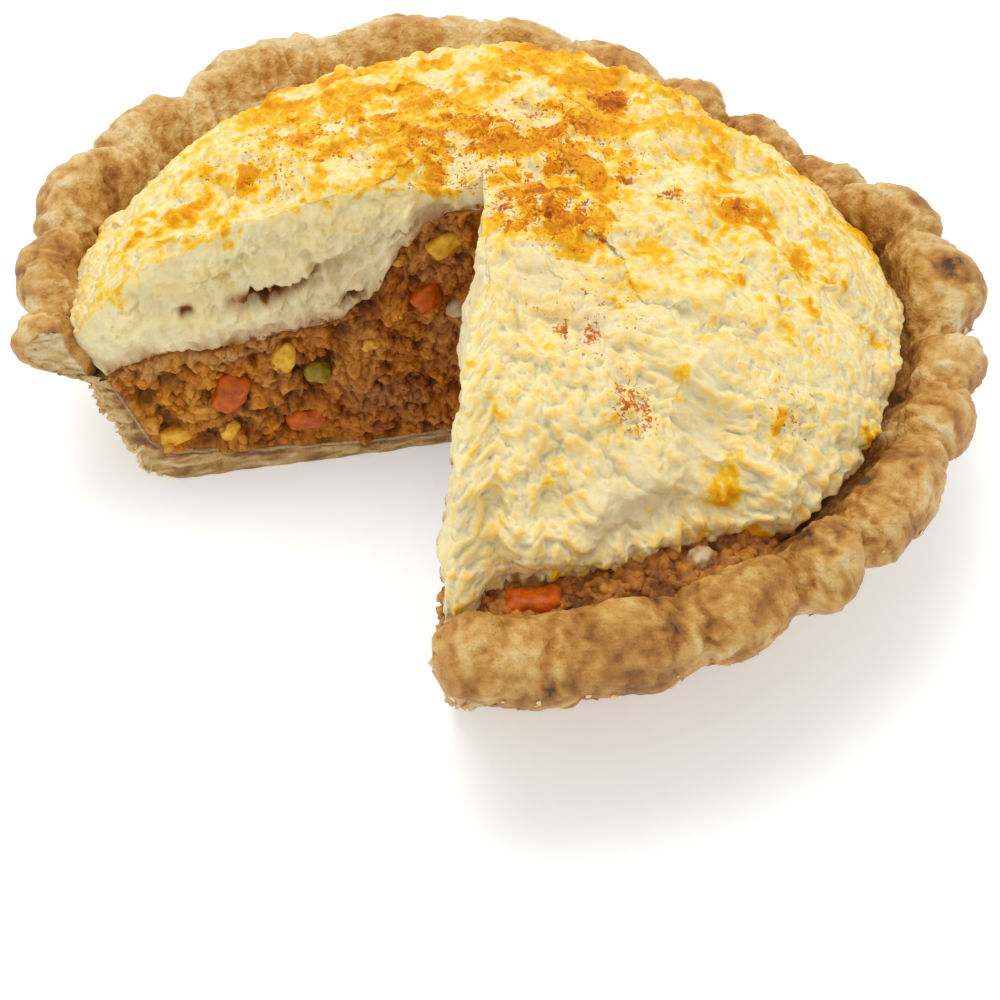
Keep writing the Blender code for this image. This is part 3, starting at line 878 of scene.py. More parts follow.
@dataclass(frozen=True)
class LooseBits:
    """Small bits strewn over a surface by Geometry Nodes, more of them where the surface says so.

    Every bit is a rounded cube with an uneven surface, squashed and turned at random.
    """

    name: str
    per_square_metre: float
    smallest: float
    largest: float
    flatness: float
    sink: float
    seed: int
    tumble: float = math.pi
    lean: float = 0.0
    stretch: float = 1.0
    dense: str = "dense"
    kinds: int = 3

    def tree(self) -> tuple[Tree, dict[str, str]]:
        """Build the node tree.

        Returns:
            The tree, and the identifier of each named input.
        """
        tree = bpy.data.node_groups.new(self.name, "GeometryNodeTree")
        put = partial(add_node, tree)
        socket = tree.interface.new_socket
        socket("Geometry", in_out="INPUT", socket_type="NodeSocketGeometry")
        socket("Geometry", in_out="OUTPUT", socket_type="NodeSocketGeometry")
        kinds = dict.fromkeys(("Density", "Smallest", "Largest", "Flatness", "Sink"), "NodeSocketFloat")
        kinds["Material"] = "NodeSocketMaterial"
        inputs = {
            name: socket(name, in_out="INPUT", socket_type=kind).identifier for name, kind in kinds.items()
        }
        entry = put("NodeGroupInput").outputs
        weight = put("GeometryNodeInputNamedAttribute", {"data_type": "FLOAT", "Name": self.dense}).outputs[0]
        density = (
            put("ShaderNodeMath", {"operation": "MULTIPLY"}, {0: entry["Density"], 1: weight}).outputs[0]
        )
        over = {"Mesh": entry["Geometry"], "Density": density}
        points = put("GeometryNodeDistributePointsOnFaces", {"Seed": self.seed}, over).outputs
        depth = {0: points["Normal"], "Scale": entry["Sink"]}
        sunk = put("ShaderNodeVectorMath", {"operation": "SCALE"}, depth).outputs[0]
        seated = put("GeometryNodeSetPosition", {}, {"Geometry": points["Points"], "Offset": sunk}).outputs[0]
        bits = put("GeometryNodeJoinGeometry")
        for kind in range(self.kinds):
            tree.links.new(self.bit(tree, kind, entry["Flatness"]), bits.inputs[0])
        most = (self.lean + self.tumble, self.tumble, math.pi)
        least = (self.lean - self.tumble, -self.tumble, -math.pi)
        ways = {"data_type": "FLOAT_VECTOR", 0: least, 1: most, "Seed": self.seed + 1}
        roll = put("FunctionNodeRandomValue", ways).outputs[0]
        turned = {0: points["Rotation"], 1: roll}
        turn = put("FunctionNodeRotateRotation", {"rotation_space": "LOCAL"}, turned).outputs[0]
        sizes = {"data_type": "FLOAT", "Seed": self.seed + 2}
        size = put("FunctionNodeRandomValue", sizes, {2: entry["Smallest"], 3: entry["Largest"]}).outputs[1]
        laid = {"Points": seated, "Instance": bits.outputs[0], "Rotation": turn, "Scale": size}
        placed = put("GeometryNodeInstanceOnPoints", {"Pick Instance": True}, laid).outputs[0]
        solid = put("GeometryNodeRealizeInstances", {}, {0: placed}).outputs[0]
        smooth = put("GeometryNodeSetShadeSmooth", {}, {0: solid}).outputs[0]
        dressed = (
            put("GeometryNodeSetMaterial", {}, {"Geometry": smooth, "Material": entry["Material"]}).outputs[0]
        )
        put("NodeGroupOutput", {}, {0: dressed})
        return tree, inputs

    def bit(self, tree: Tree, kind: int, flatness: Socket) -> Socket:
        """Return one kind of bit, 1 across, as a single instance.

        Args:
            tree: The node tree.
            kind: Which kind, from 0.
            flatness: How high it is.

        Returns:
            The bit's geometry.
        """
        put = partial(add_node, tree)
        cube = put("GeometryNodeMeshCube", {"Vertices X": 3, "Vertices Y": 3, "Vertices Z": 3}).outputs[0]
        place = put("GeometryNodeInputPosition").outputs[0]
        ball = put("ShaderNodeVectorMath", {"operation": "NORMALIZE"}, {0: place}).outputs[0]
        waves = {"noise_dimensions": "4D", "Scale": 1.3, "W": 3.7 * kind + self.seed}
        rough = put("ShaderNodeTexNoise", waves, {"Vector": ball}).outputs[0]
        swell = put("ShaderNodeMapRange", {"To Min": 0.18, "To Max": 0.85}, {"Value": rough}).outputs[0]
        grown = put("ShaderNodeVectorMath", {"operation": "SCALE"}, {0: ball, "Scale": swell}).outputs[0]
        sides = {"X": 0.8 - 0.12 * kind, "Y": self.stretch}
        squash = put("ShaderNodeCombineXYZ", sides, {"Z": flatness}).outputs[0]
        shaped = put("ShaderNodeVectorMath", {"operation": "MULTIPLY"}, {0: grown, 1: squash}).outputs[0]
        moved = put("GeometryNodeSetPosition", {}, {"Geometry": cube, "Position": shaped}).outputs[0]
        return put("GeometryNodeGeometryToInstance", {}, {0: moved}).outputs[0]

    def strew(self, over: Mesh, material: Material) -> Piece:
        """Make the bits over a surface as one plain mesh.

        Args:
            over: The surface, with the attribute that says how densely they lie.
            material: Their finish.

        Returns:
            The new piece.
        """
        tree, inputs = self.tree()
        host = bpy.data.objects.new(self.name + "_host", over.copy())
        bpy.context.scene.collection.objects.link(host)
        maker = host.modifiers.new(self.name, "NODES")
        maker.node_group = tree
        values = (self.per_square_metre, self.smallest, self.largest, self.flatness, self.sink, material)
        for identifier, value in zip(inputs.values(), values):
            maker[identifier] = value
        bpy.context.view_layer.update()
        made = bpy.data.meshes.new_from_object(host.evaluated_get(bpy.context.evaluated_depsgraph_get()))
        host.modifiers.clear()
        bpy.data.objects.remove(host)
        made.name = self.name
        return add_piece(self.name, made, material)


# ---- The swept foods: potato, filling and pastry ----


@dataclass
class Swept:
    """A closed food skin swept round the pie, with a cut face at each end of the sweep.

    Rows run from one cut face round to the other. Their end vertices are tied across the food by
    lines, and those lines fill the cut faces.
    """

    shape: PieShape
    skin: Skin = field(default_factory=Skin)
    rows: list[tuple[Array, Array]] = field(default_factory=list)
    lines: list[tuple[Array, int]] = field(default_factory=list)
    near_cut: float = 15.0 * MM

    def nearness(self, places: Array) -> Array:
        """Return how near the cut faces places are, from 0 to 1."""
        return np.clip(1.0 - self.face_distance(places) / self.near_cut, 0.0, 1.0) ** 1.5

    def add_row(self, azimuth: Array, radius: Array, height: Array, region: Region, along: float) -> Array:
        """Add a row and join it to the last one.

        Args:
            azimuth: Azimuths of its vertices, seen from the apex.
            radius: How far each lies from the pie's axis.
            height: Their heights.
            region: The part of the piece that they lie on.
            along: How far along the section the row lies.

        Returns:
            The row's vertex numbers.
        """
        turn = np.radians(azimuth)
        pattern = np.stack([along * np.cos(turn), along * np.sin(turn)], 1)
        places = self.shape.place(azimuth, self.shape.reach(azimuth, radius), height)
        return self.join_row(self.skin.row(places, region, pattern), azimuth)

    def join_row(self, numbers: Array, azimuth: Array) -> Array:
        """Join a row of vertices at these azimuths to the last row."""
        share = (azimuth - self.shape.cut_end) / (self.shape.cut_start - self.shape.cut_end)
        if self.rows:
            self.skin.join(self.rows[-1][0], numbers, self.rows[-1][1], share)
        self.rows.append((numbers, share))
        return numbers

    def add_point(self, height: float, region: Region) -> Array:
        """Add a row that is one vertex, at the apex."""
        place = self.shape.place(np.zeros(1), np.zeros(1), np.full(1, height))
        return self.join_row(self.skin.row(place, region, np.zeros((1, 2))), np.array([self.shape.cut_end]))

    def fill_cuts(self, pairs: list[tuple[Array, Array]], last: list[Array] | None, spacing: float) -> None:
        """Fill both cut faces with lines from one set of rows to another.

        Args:
            pairs: Rows that face each other across the food, from the apex outwards.
            last: Rows whose ends are the outermost line, in order, or None where the last pair is it.
            spacing: About how far apart vertices lie on a line.
        """
        places = np.concatenate(self.skin.places)
        middle = self.line(pairs[0][0][0], pairs[0][1][0], places, spacing)
        for end in (0, -1):
            made = [middle]
            for low, high in pairs[1:]:
                made.append(self.line(low[end], high[end], places, spacing))
            if last is not None:
                made[-1] = np.array([row[end] for row in last])
            for first, second in zip(made, made[1:]):
                self.skin.join_even(first, second)
            self.lines += [(line, end) for line in made]

    def line(self, low: int, high: int, places: Array, spacing: float) -> Array:
        """Add a straight line of vertices between two that are there.

        Args:
            low: The first vertex's number.
            high: The last one's.
            places: Places of the vertices that are there.
            spacing: About how far apart the new ones lie.

        Returns:
            All its vertex numbers, ends included.
        """
        inside = int(np.linalg.norm(places[high] - places[low]) / spacing) - 1
        if inside < 1:
            return np.array([low, high])
        share = np.linspace(0.0, 1.0, inside + 2)[1:-1, None]
        new = self.skin.row(places[low] + (places[high] - places[low]) * share, Region.CUT)
        return np.concatenate([[low], new, [high]])

    def inner_lines(self) -> list[tuple[Array, int]]:
        """Return the lines that have vertices of the cut face itself between their ends."""
        region = self.skin.region()
        return [
            (line, end) for line, end in self.lines if len(line) > 2 and region[line[1]] == Region.CUT.value
        ]

    def line_shares(self, count: int) -> tuple[Array, Array]:
        """Say where each vertex of a cut face lies on its line.

        Args:
            count: How many vertices the skin has.

        Returns:
            How far each is from its line's first end, as a share, and the line's length.
        """
        places = np.concatenate(self.skin.places)
        share = np.zeros(count)
        length = np.zeros(count)
        for line, _ in self.inner_lines():
            share[line[1:-1]] = np.linspace(0.0, 1.0, len(line))[1:-1]
            length[line[1:-1]] = np.linalg.norm(places[line[-1]] - places[line[0]])
        return share, length

    def normals(self, mesh: Mesh) -> Array:
        """Return the vertex normals, where the ends of a row have those of the vertices next to them."""
        found = normals_of(mesh)
        for numbers, _ in self.rows:
            if len(numbers) > 2:
                found[numbers[[0, -1]]] = found[numbers[[1, -2]]]
        return found

    def face_normal(self, end: int) -> Array:
        """Return the direction out of a cut face: 0 where the sweep starts, -1 where it ends."""
        turn = math.radians(self.shape.cut_end if end == 0 else self.shape.cut_start)
        side = 1.0 if end == 0 else -1.0
        return np.array([side * math.sin(turn), -side * math.cos(turn), 0.0])

    def face_side(self, places: Array) -> Array:
        """Return 0 for places nearer the cut face where the sweep starts, and 1 for the other."""
        flat = places - self.shape.apex_place()
        turns = [math.radians(turn) for turn in (self.shape.cut_end, self.shape.cut_start)]
        along = [flat[:, 0] * math.cos(turn) + flat[:, 1] * math.sin(turn) for turn in turns]
        return (along[1] > along[0]).astype(int)

    def face_out(self, places: Array) -> Array:
        """Return the direction out of the nearer cut face for each place."""
        return np.where(self.face_side(places)[:, None] == 0, self.face_normal(0), self.face_normal(-1))

    def face_distance(self, places: Array) -> Array:
        """Return how far places lie behind the nearer cut face."""
        flat = places - self.shape.apex_place()
        return np.abs(np.sum(flat * self.face_out(places), axis=1))

    def face_pattern(self, places: Array) -> Array:
        """Return flat coordinates on the cut faces: how far out from the apex, and the height."""
        apex = self.shape.apex_place()
        out = np.hypot(places[:, 0] - apex[0], places[:, 1] - apex[1])
        return np.stack([out, places[:, 2]], 1)

    def seam(self, places: Array) -> Array:
        """Return how far the seam between potato and filling rises or falls at the cut faces."""
        spots = self.face_pattern(places)
        side = self.face_side(places)
        reach = ease(0.003, 0.012, spots[:, 0]) * (1.0 - ease(0.0, 0.008, spots[:, 0] - 0.080 - 0.012 * side))
        spots[:, 1] = 0.7 * side
        reach *= 1.0 - ease(0.0, 0.005, self.face_distance(places))
        return (
            reach
            * (2.1 * MM * soft_noise(spots, 9.0 * MM, 18, 2) + 1.5 * MM * soft_noise(spots, 3.2 * MM, 19, 3))
        )

    def settle(
        self, mesh: Mesh, moves: Array, torn: Array, ragged: float = 0.0, rolled: Array | float = 0.0
    ) -> Array:
        """Move the skin, keep the ends of its rows near the cut planes, and roughen the cut faces.

        Args:
            mesh: The skin as a mesh.
            moves: How each vertex moves, in metres along each axis.
            torn: How far each vertex of a cut face stands out of it.
            ragged: How far the edges of the cut faces may draw back.
            rolled: How far each end of a row is rolled back besides.

        Returns:
            The new places.
        """
        places = places_of(mesh)
        face = self.face_pattern(places)
        ragged *= 0.55 + 0.55 * soft_noise(face + self.face_side(places)[:, None], 6.0 * MM, 17, 3)
        torn = torn * ease(0.5 * MM, 5.0 * MM, face[:, 0])
        near = self.nearness(places)
        drawn = (ragged * ease(2.0 * MM, 11.0 * MM, face[:, 0]) + rolled) * near
        moves[:, :2] *= ease(1.0 * MM, 6.0 * MM, face[:, 0])[:, None]
        moves -= self.face_out(places) * drawn[:, None]
        for line, end in self.lines:
            normal = self.face_normal(end)
            for vertex in (line[0], line[-1]):
                moves[vertex] -= normal * (drawn[vertex] + moves[vertex] @ normal)
        middle = self.lines[0][0]
        moves[[middle[0], middle[-1]], :2] = 0.0
        places += moves
        for line, end in self.inner_lines():
            share = np.linspace(0.0, 1.0, len(line))[1:-1, None]
            low, across = places[line[0]], places[line[-1]] - places[line[0]]
            places[line[1:-1]] = low + across * share
            if line is not middle:
                # Where the top is rolled back, only the last few millimetres of the line bend.
                normal = self.face_normal(end)
                bent = max(2.0, np.linalg.norm(across) / (5.0 * MM))
                places[line[1:-1]] += (
                    normal * (torn[line[1:-1], None] - (across @ normal) * (share - share**bent))
                )
        set_places(mesh, places)
        return places


@dataclass(frozen=True)
class Spot:
    """A soft round spot on the potato's top, in millimetres from the pie's axis."""

    x: float
    y: float
    wide: float
    strong: float
    long: float = 1.0
    heading: float = 0.0

    def at(self, flat: Array) -> Array:
        """Return its effect at each place, seen from above."""
        turn = math.radians(self.heading)
        x, y = flat[:, 0] / MM - self.x, flat[:, 1] / MM - self.y
        along = (x * math.cos(turn) + y * math.sin(turn)) / self.long
        across = y * math.cos(turn) - x * math.sin(turn)
        return self.strong * np.exp(-((np.hypot(along, across) / self.wide) ** 2))


def strongest(spots: tuple[Spot, ...], flat: Array) -> Array:
    """Return the strongest effect of these spots at each place."""
    return np.max([spot.at(flat) for spot in spots], axis=0)


@dataclass(frozen=True)
class Slit:
    """A hollow in a cut face of the potato: where it is, its half length and half height, and its slope.

    Lengths are in millimetres, and the side is 1 for the face where the sweep ends and 0 for the other.
    """

    side: int
    out: float
    height: float
    long: float
    tall: float
    slope: float
    deep: float
    dark: float

    def at(self, face: Array) -> Array:
        """Return how much of it there is at each place of a cut face."""
        out = face[:, 0] / MM - self.out
        up = face[:, 1] / MM - self.height - self.slope * out
        return np.exp(-((out / self.long) ** 4) - (up / self.tall) ** 4)


@dataclass
class PotatoCap(Swept):
    """The browned mashed potato: torn plates on top, a ragged edge, and two torn cut faces."""

    finish: BrownedPotato = BrownedPotato()
    roll: float = 2.2 * MM
    ledge: float = 47.0 * MM
    sunk: float = 0.9 * MM
    spacing: float = 0.52 * MM
    hidden_spacing: float = 12.0 * MM
    plates: tuple = (
        Plates(17.0 * MM, 1.2 * MM, 0.08, 0.55, 1.45, 0.5, 3),
        Plates(8.0 * MM, 0.75 * MM, 0.12, 0.80, 1.35, 0.8, 8),
        Plates(3.6 * MM, 0.35 * MM, 0.15, 0.90, 1.25, 1.4, 15),
    )
    toasted: tuple = (
        Spot(8.0, 14.0, 28.0, 0.64, 1.9, 8.0), Spot(14.0, -13.0, 13.0, 0.64, 2.0, -20.0),
        Spot(-30.0, 20.0, 22.0, 0.52, 1.7, 25.0), Spot(-62.0, 6.0, 18.0, 0.42, 1.6, 30.0),
        Spot(66.0, -9.0, 6.0, 0.70, 3.4, -35.0), Spot(52.0, 8.0, 16.0, 0.42, 1.6, -30.0),
        Spot(25.0, 44.0, 16.0, 0.55, 2.4, 0.0), Spot(60.0, -28.0, 9.0, 0.30, 2.0, -20.0),
        Spot(-30.0, 62.0, 14.0, 0.34, 2.0, 20.0), Spot(-84.0, -8.0, 10.0, 0.45, 1.5, 60.0),
    )
    browned: tuple = (
        Spot(-37.8, 32.8, 7.0, 0.55), Spot(-58.9, 18.6, 7.0, 0.55), Spot(-73.4, 13.6, 6.0, 0.50),
        Spot(-65.8, -10.9, 6.0, 0.55), Spot(-45.3, -8.3, 5.0, 0.55), Spot(-78.4, -6.1, 4.0, 0.60),
        Spot(-85.6, -9.9, 4.0, 0.60), Spot(16.4, -20.0, 6.0, 0.95, 1.6, -20.0), Spot(31.2, -39.0, 4.5, 0.85),
        Spot(60.0, -5.0, 5.0, 1.0), Spot(75.1, -19.4, 4.5, 0.85), Spot(84.8, -17.6, 4.0, 0.8),
        Spot(54.8, -26.5, 4.0, 0.5), Spot(77.2, -31.3, 4.0, 0.5), Spot(62.4, -18.1, 4.0, 0.5),
        Spot(54.5, -73.5, 3.5, 0.60), Spot(45.0, -58.7, 3.0, 0.5), Spot(92.5, -52.8, 3.0, 0.9),
        Spot(97.6, -22.4, 3.0, 0.5), Spot(-20.0, 8.0, 6.0, 0.95, 1.3, 60.0), Spot(30.6, 35.2, 8.0, 0.95),
        Spot(68.5, -63.0, 5.0, 0.55), Spot(14.0, -98.0, 4.0, 0.4, 2.6, 10.0),
    )
    pale: tuple = (Spot(-2.4, 29.9, 7.0, 0.8, 1.5, 0.0), Spot(48.0, 22.0, 8.0, 0.6, 2.0, -35.0))
    spiced: tuple = (
        Spot(4.0, 12.0, 30.0, 0.62, 1.5, 5.0), Spot(12.0, -14.0, 14.0, 0.72, 1.5, -15.0),
        Spot(-45.0, 14.0, 26.0, 0.44, 1.6, 25.0), Spot(24.0, -45.0, 16.0, 0.42),
        Spot(-26.4, 23.0, 3.0, 0.9), Spot(-17.7, 11.0, 4.0, 1.1), Spot(-21.5, 0.6, 3.0, 1.0),
        Spot(-14.4, 36.5, 3.0, 0.9), Spot(-0.7, 12.7, 3.0, 0.9), Spot(9.8, 26.4, 3.0, 0.9),
        Spot(19.8, 18.0, 3.5, 1.0), Spot(30.6, 35.2, 6.0, 1.2), Spot(3.7, -21.6, 2.5, 0.95),
        Spot(13.2, -14.3, 4.5, 1.15), Spot(22.0, -16.7, 3.5, 1.05), Spot(25.9, -23.0, 3.5, 0.9),
        Spot(60.2, -5.1, 4.0, 1.1), Spot(43.3, -7.6, 5.0, 0.7), Spot(32.7, 0.9, 5.0, 0.75),
        Spot(-12.3, -25.9, 3.0, 0.9), Spot(2.3, -22.7, 2.5, 0.9), Spot(32.9, -64.0, 5.5, 0.85),
        Spot(23.0, -49.7, 3.0, 0.8), Spot(16.2, -47.9, 3.0, 0.8), Spot(72.0, -58.0, 9.0, 0.45),
    )
    smooth: tuple = (
        Spot(11.7, -33.5, 7.0, 0.9), Spot(25.3, -48.1, 7.0, 0.9), Spot(34.0, -82.3, 10.0, 1.0, 1.3, -10.0),
        Spot(45.7, -56.9, 6.0, 0.8), Spot(29.5, -85.6, 6.0, 1.0), Spot(47.8, -69.2, 7.0, 0.9),
        Spot(-2.4, 29.9, 7.0, 0.5), Spot(40.0, -30.0, 6.0, 0.5),
    )
    slits: tuple = (
        Slit(1, 56.6, 62.5, 9.0, 1.9, -0.12, 4.6, 1.0), Slit(1, 45.5, 65.5, 4.5, 1.5, -0.45, 3.6, 0.9),
        Slit(1, 36.5, 71.2, 7.0, 2.2, -0.30, 2.6, 0.28), Slit(1, 76.0, 60.7, 2.2, 1.8, 0.0, 0.9, 1.0),
        Slit(1, 34.0, 59.5, 4.5, 1.4, -0.4, 3.0, 0.9), Slit(1, 66.0, 72.0, 7.0, 1.4, -0.5, 2.0, 0.05),
        Slit(1, 22.0, 78.0, 6.0, 1.2, -0.5, 1.8, 0.05),
        Slit(0, 48.0, 66.0, 8.0, 1.2, -0.25, 2.4, 0.9), Slit(0, 70.0, 62.0, 5.0, 1.0, 0.1, 1.4, 0.3),
        Slit(0, 28.0, 78.0, 6.0, 1.3, -0.4, 1.4, 0.2),
    )

    def shares(self) -> tuple[Array, Array]:
        """Return how far out each row of the top lies, as a share and as a length over the surface."""
        out = np.linspace(0.0, 1.0, 400)
        fall = self.shape.cap_roundness * out**2 + (1.0 - self.shape.cap_roundness) * out**5
        radius = self.shape.inner_radius(self.shape.shelf)
        drop = (self.shape.cap_top - self.shape.rim_level) * fall
        length = np.concatenate([[0.0], np.cumsum(np.hypot(np.diff(out * radius), np.diff(drop)))])
        at = np.linspace(0.0, length[-1], int(length[-1] / self.spacing))
        return np.interp(at, length, out), at

    def columns(self, radius: float, spacing: float) -> Array:
        """Return azimuths for a row at this radius."""
        sweep = math.radians(self.shape.cut_start - self.shape.cut_end)
        return self.shape.azimuths(max(5, int(sweep * radius / spacing)))

    def build(self) -> Piece:
        """Build the potato and dress it.

        Returns:
            The finished piece.
        """
        shape = self.shape
        shares, arcs = self.shares()
        top = [self.add_point(shape.cap_height(np.zeros(1), np.zeros(1))[0], Region.OUTSIDE)]
        for share, arc in zip(shares[1:], arcs[1:]):
            azimuth = self.columns(share * 0.1, self.spacing)
            radius = share * shape.cap_edge_radius(azimuth)
            height = shape.cap_height(azimuth, shape.reach(azimuth, radius))
            top.append(self.add_row(azimuth, radius, height, Region.OUTSIDE, arc))
        side = [top[-1]]
        azimuth = self.columns(0.1, self.spacing)
        edge_radius = shape.cap_edge_radius(azimuth)
        edge_height = np.minimum(shape.cap_edge_height(azimuth), height - 0.1 * MM)
        foot_radius = np.minimum(shape.inner_radius(shape.shelf) - 2.0 * shape.gap, edge_radius)
        foot_height = shape.dome_height(foot_radius) + 1.5 * shape.gap
        for step in np.linspace(0.0, 1.0, 19)[1:]:
            height = edge_height + (foot_height - edge_height) * step
            inward = np.clip((edge_height - shape.cap_edge_depth - height) / 0.006, 0.0, 1.0)
            radius = edge_radius + (foot_radius - edge_radius) * inward
            arc = arcs[-1] + step * float(np.mean(edge_height - foot_height))
            side.append(self.add_row(azimuth, radius, height, Region.OUTSIDE, arc))
        under = [side[-1]]
        for share in shares[-2:0:-1]:
            azimuth = self.columns(share * 0.1, self.hidden_spacing)
            foot = np.minimum(
                shape.inner_radius(shape.shelf) - 2.0 * shape.gap, shape.cap_edge_radius(azimuth)
            )
            height = shape.dome_height(share * foot) + shape.gap
            under.append(self.add_row(azimuth, share * foot, height, Region.HIDDEN, 0.0))
        under.append(self.add_point(shape.dome_height(np.zeros(1))[0] + shape.gap, Region.HIDDEN))
        self.fill_cuts(list(zip(under[::-1], top)), side[::-1], 0.6 * MM)
        return self.dress()

    def dress(self) -> Piece:
        """Give the plain skin its torn plates, its torn cut faces and its colours.

        Returns:
            The finished piece.
        """
        mesh = self.skin.mesh("mashed_potato_browned")
        places = places_of(mesh)
        region = self.skin.region()
        outside = region == Region.OUTSIDE.value
        flat = self.shape.from_axis(places)
        smooth = strongest(self.smooth, flat) * ease(0.053, 0.059, places[:, 2])
        relief = self.relief(self.skin.pattern(), smooth)
        fine = relief - smoothed(mesh, relief, 14)
        face = self.face_pattern(places)
        radius = self.shape.radius_of(places)
        normals = self.normals(mesh)
        turn = np.degrees(np.arctan2(flat[:, 1], flat[:, 0]))
        near = self.nearness(places)
        upper = ease(0.0, 7.0 * MM, places[:, 2] - self.shape.dome_height(radius)) * outside
        rolled = (
            self.roll * upper * ease(2.0 * MM, 11.0 * MM, face[:, 0]) * (0.35 + 0.65 * self.face_side(places))
        )
        relief *= 1.0 - 0.45 * ease(0.076, 0.090, radius) * ease(-52.0, -40.0, turn)
        relief *= (1.0 - 0.65 * near) * (0.3 + 0.7 * ease(1.0 * MM, 8.0 * MM, face[:, 0]))
        relief -= 0.9 * near * rolled * ease(0.1, 0.6, normals[:, 2]) + 0.5 * MM
        relief -= self.shape.bell((95.0, 42.0, 2.2 * MM), turn) * ease(0.070, 0.098, radius)
        foot = 0.2 + 0.8 * ease(0.5 * MM, 4.5 * MM, places[:, 2] - self.shape.dome_height(radius))
        moves = normals * np.where(outside, relief * foot, 0.0)[:, None]
        lobes = np.stack([np.radians(turn) * 0.09, 0.0 * turn], 1)
        lobes = self.shape.bell((-68.0, 22.0, 2.0 * MM), turn) * soft_noise(lobes, 9.0 * MM, 16, 3)
        lobes += (
            self.shape.bell((-82.0, 14.0, 2.5 * MM), turn) + self.shape.bell((188.0, 16.0, 4.5 * MM), turn)
        )
        edge = np.stack([np.radians(turn) * 0.09, places[:, 2]], 1)
        lobes -= 2.4 * MM * ease(-0.1, 0.5, soft_noise(edge, 9.0 * MM, 18, 3)) * ease(-62.0, -50.0, turn)
        bare = self.shape.bareness(turn)
        lobes += bare * 2.6 * MM * soft_noise(edge, 8.0 * MM, 64, 2)
        lobes *= ease(0.076, 0.086, radius) * foot * outside
        moves += (flat * [1.0, 1.0, 0.0] / radius.clip(0.01)[:, None]) * lobes[:, None]
        hidden = region == Region.HIDDEN.value
        moves[:, 2] += np.where(hidden, self.seam(places), 0.0)
        rolled = np.where(hidden, self.sunk * ease(1.0 * MM, 4.0 * MM, face[:, 0]), rolled)
        share, length = self.line_shares(len(places))
        torn = self.torn(face, self.face_side(places), share, length)
        moved = self.settle(mesh, moves, torn, 1.0 * MM, rolled)
        self.colour(mesh, moved, flat, fine, smooth, region == Region.CUT.value, (share, length))
        LOG.info("potato: %d triangles", len(mesh.polygons))
        return add_piece("mashed_potato_browned", mesh, self.finish.material())

    def relief(self, spots: Array, smooth: Array) -> Array:
        """Return how far the top stands out at each spot of its flat pattern.

        Args:
            spots: Places on the pattern.
            smooth: How smooth the potato is there, from 0 to 1.

        Returns:
            The relief, in metres.
        """
        warp = noise_pair(spots, 4.5 * MM, (31, 32), 3) * 1.1 * MM
        finer = noise_pair(spots, 1.8 * MM, (33, 34), 2) * 0.55 * MM
        big, middle, small = (plates.height(spots + warp + finer) for plates in self.plates)
        rough = 1.0 - 0.85 * smooth
        strokes = np.zeros(len(spots))
        for share, turn in zip(stroke_shares(spots), STROKES):
            along = spots[:, 0] * math.cos(turn) + spots[:, 1] * math.sin(turn)
            across = spots[:, 1] * math.cos(turn) - spots[:, 0] * math.sin(turn)
            drawn = np.stack([along / 3.4, across], 1) + 0.6 * finer
            strokes += share * (1.0 - 1.6 * np.abs(soft_noise(drawn, 3.1 * MM, 36, 2)))
        crumbly = ease(-0.6, 0.3, soft_noise(spots, 10.0 * MM, 38, 2))
        curds = np.zeros(len(spots))
        for size, rise, seed in (
            (4.4 * MM, 1.30 * MM, 30), (2.6 * MM, 1.00 * MM, 37), (1.5 * MM, 0.55 * MM, 47)
        ):
            middles, _, own = cell_noise(spots + 0.5 * warp + finer, size, seed)
            curds += rise * (0.30 - middles**2) * (0.1 + 1.3 * own) * crumbly
        relief = big + rough * (middle + small + 0.15 * MM * strokes + curds)
        relief += rough * (
            0.40 * MM * soft_noise(spots, 6.0 * MM, 39, 3) + 0.50 * MM * soft_noise(spots, 2.4 * MM, 35, 2)
        )
        return relief - np.mean(relief) - 0.8 * MM * smooth

    def torn(self, face: Array, side: Array, share: Array, length: Array) -> Array:
        """Return how far a cut face stands out at each place.

        Args:
            face: Flat coordinates on the cut faces.
            side: Which face each place is on.
            share: How far up its line each place is.
            length: How long its line is.

        Returns:
            The relief, in metres.
        """
        spots = face + 0.7 * side[:, None]
        warped = spots + noise_pair(spots, 2.2 * MM, (23, 27), 2) * 0.8 * MM
        middles, _, own = cell_noise(warped, 5.0 * MM, 24)
        finer, _, other = cell_noise(warped, 2.0 * MM, 28)
        up = share * length
        upper = ease(12.0 * MM, 14.5 * MM, up + 3.0 * MM * soft_noise(spots, 11.0 * MM, 25, 3))
        curds = 1.6 * (0.30 - middles**2) * (0.2 + 1.8 * own) + 0.8 * (0.30 - finer**2) * (0.2 + 1.2 * other)
        relief = 2.0 * MM * soft_noise(spots * np.array([0.7, 1.0]), 9.0 * MM, 21, 2)
        relief += (0.75 + 0.55 * upper) * MM * curds + 0.60 * MM * soft_noise(spots, 3.2 * MM, 22, 3)
        relief += 2.0 * MM * (1.0 - upper) * ease(14.0 * MM, 22.0 * MM, length)
        for slit in self.slits:
            bent = face + 1.9 * MM * soft_noise(spots, 2.8 * MM, 26, 3)[:, None]
            relief -= MM * slit.deep * np.where(side == slit.side, slit.at(bent), 0.0)
        fade = np.minimum(share * length / (2.0 * MM), (1.0 - share) * length / (6.0 * MM))
        return relief * np.clip(fade, 0.0, 1.0)

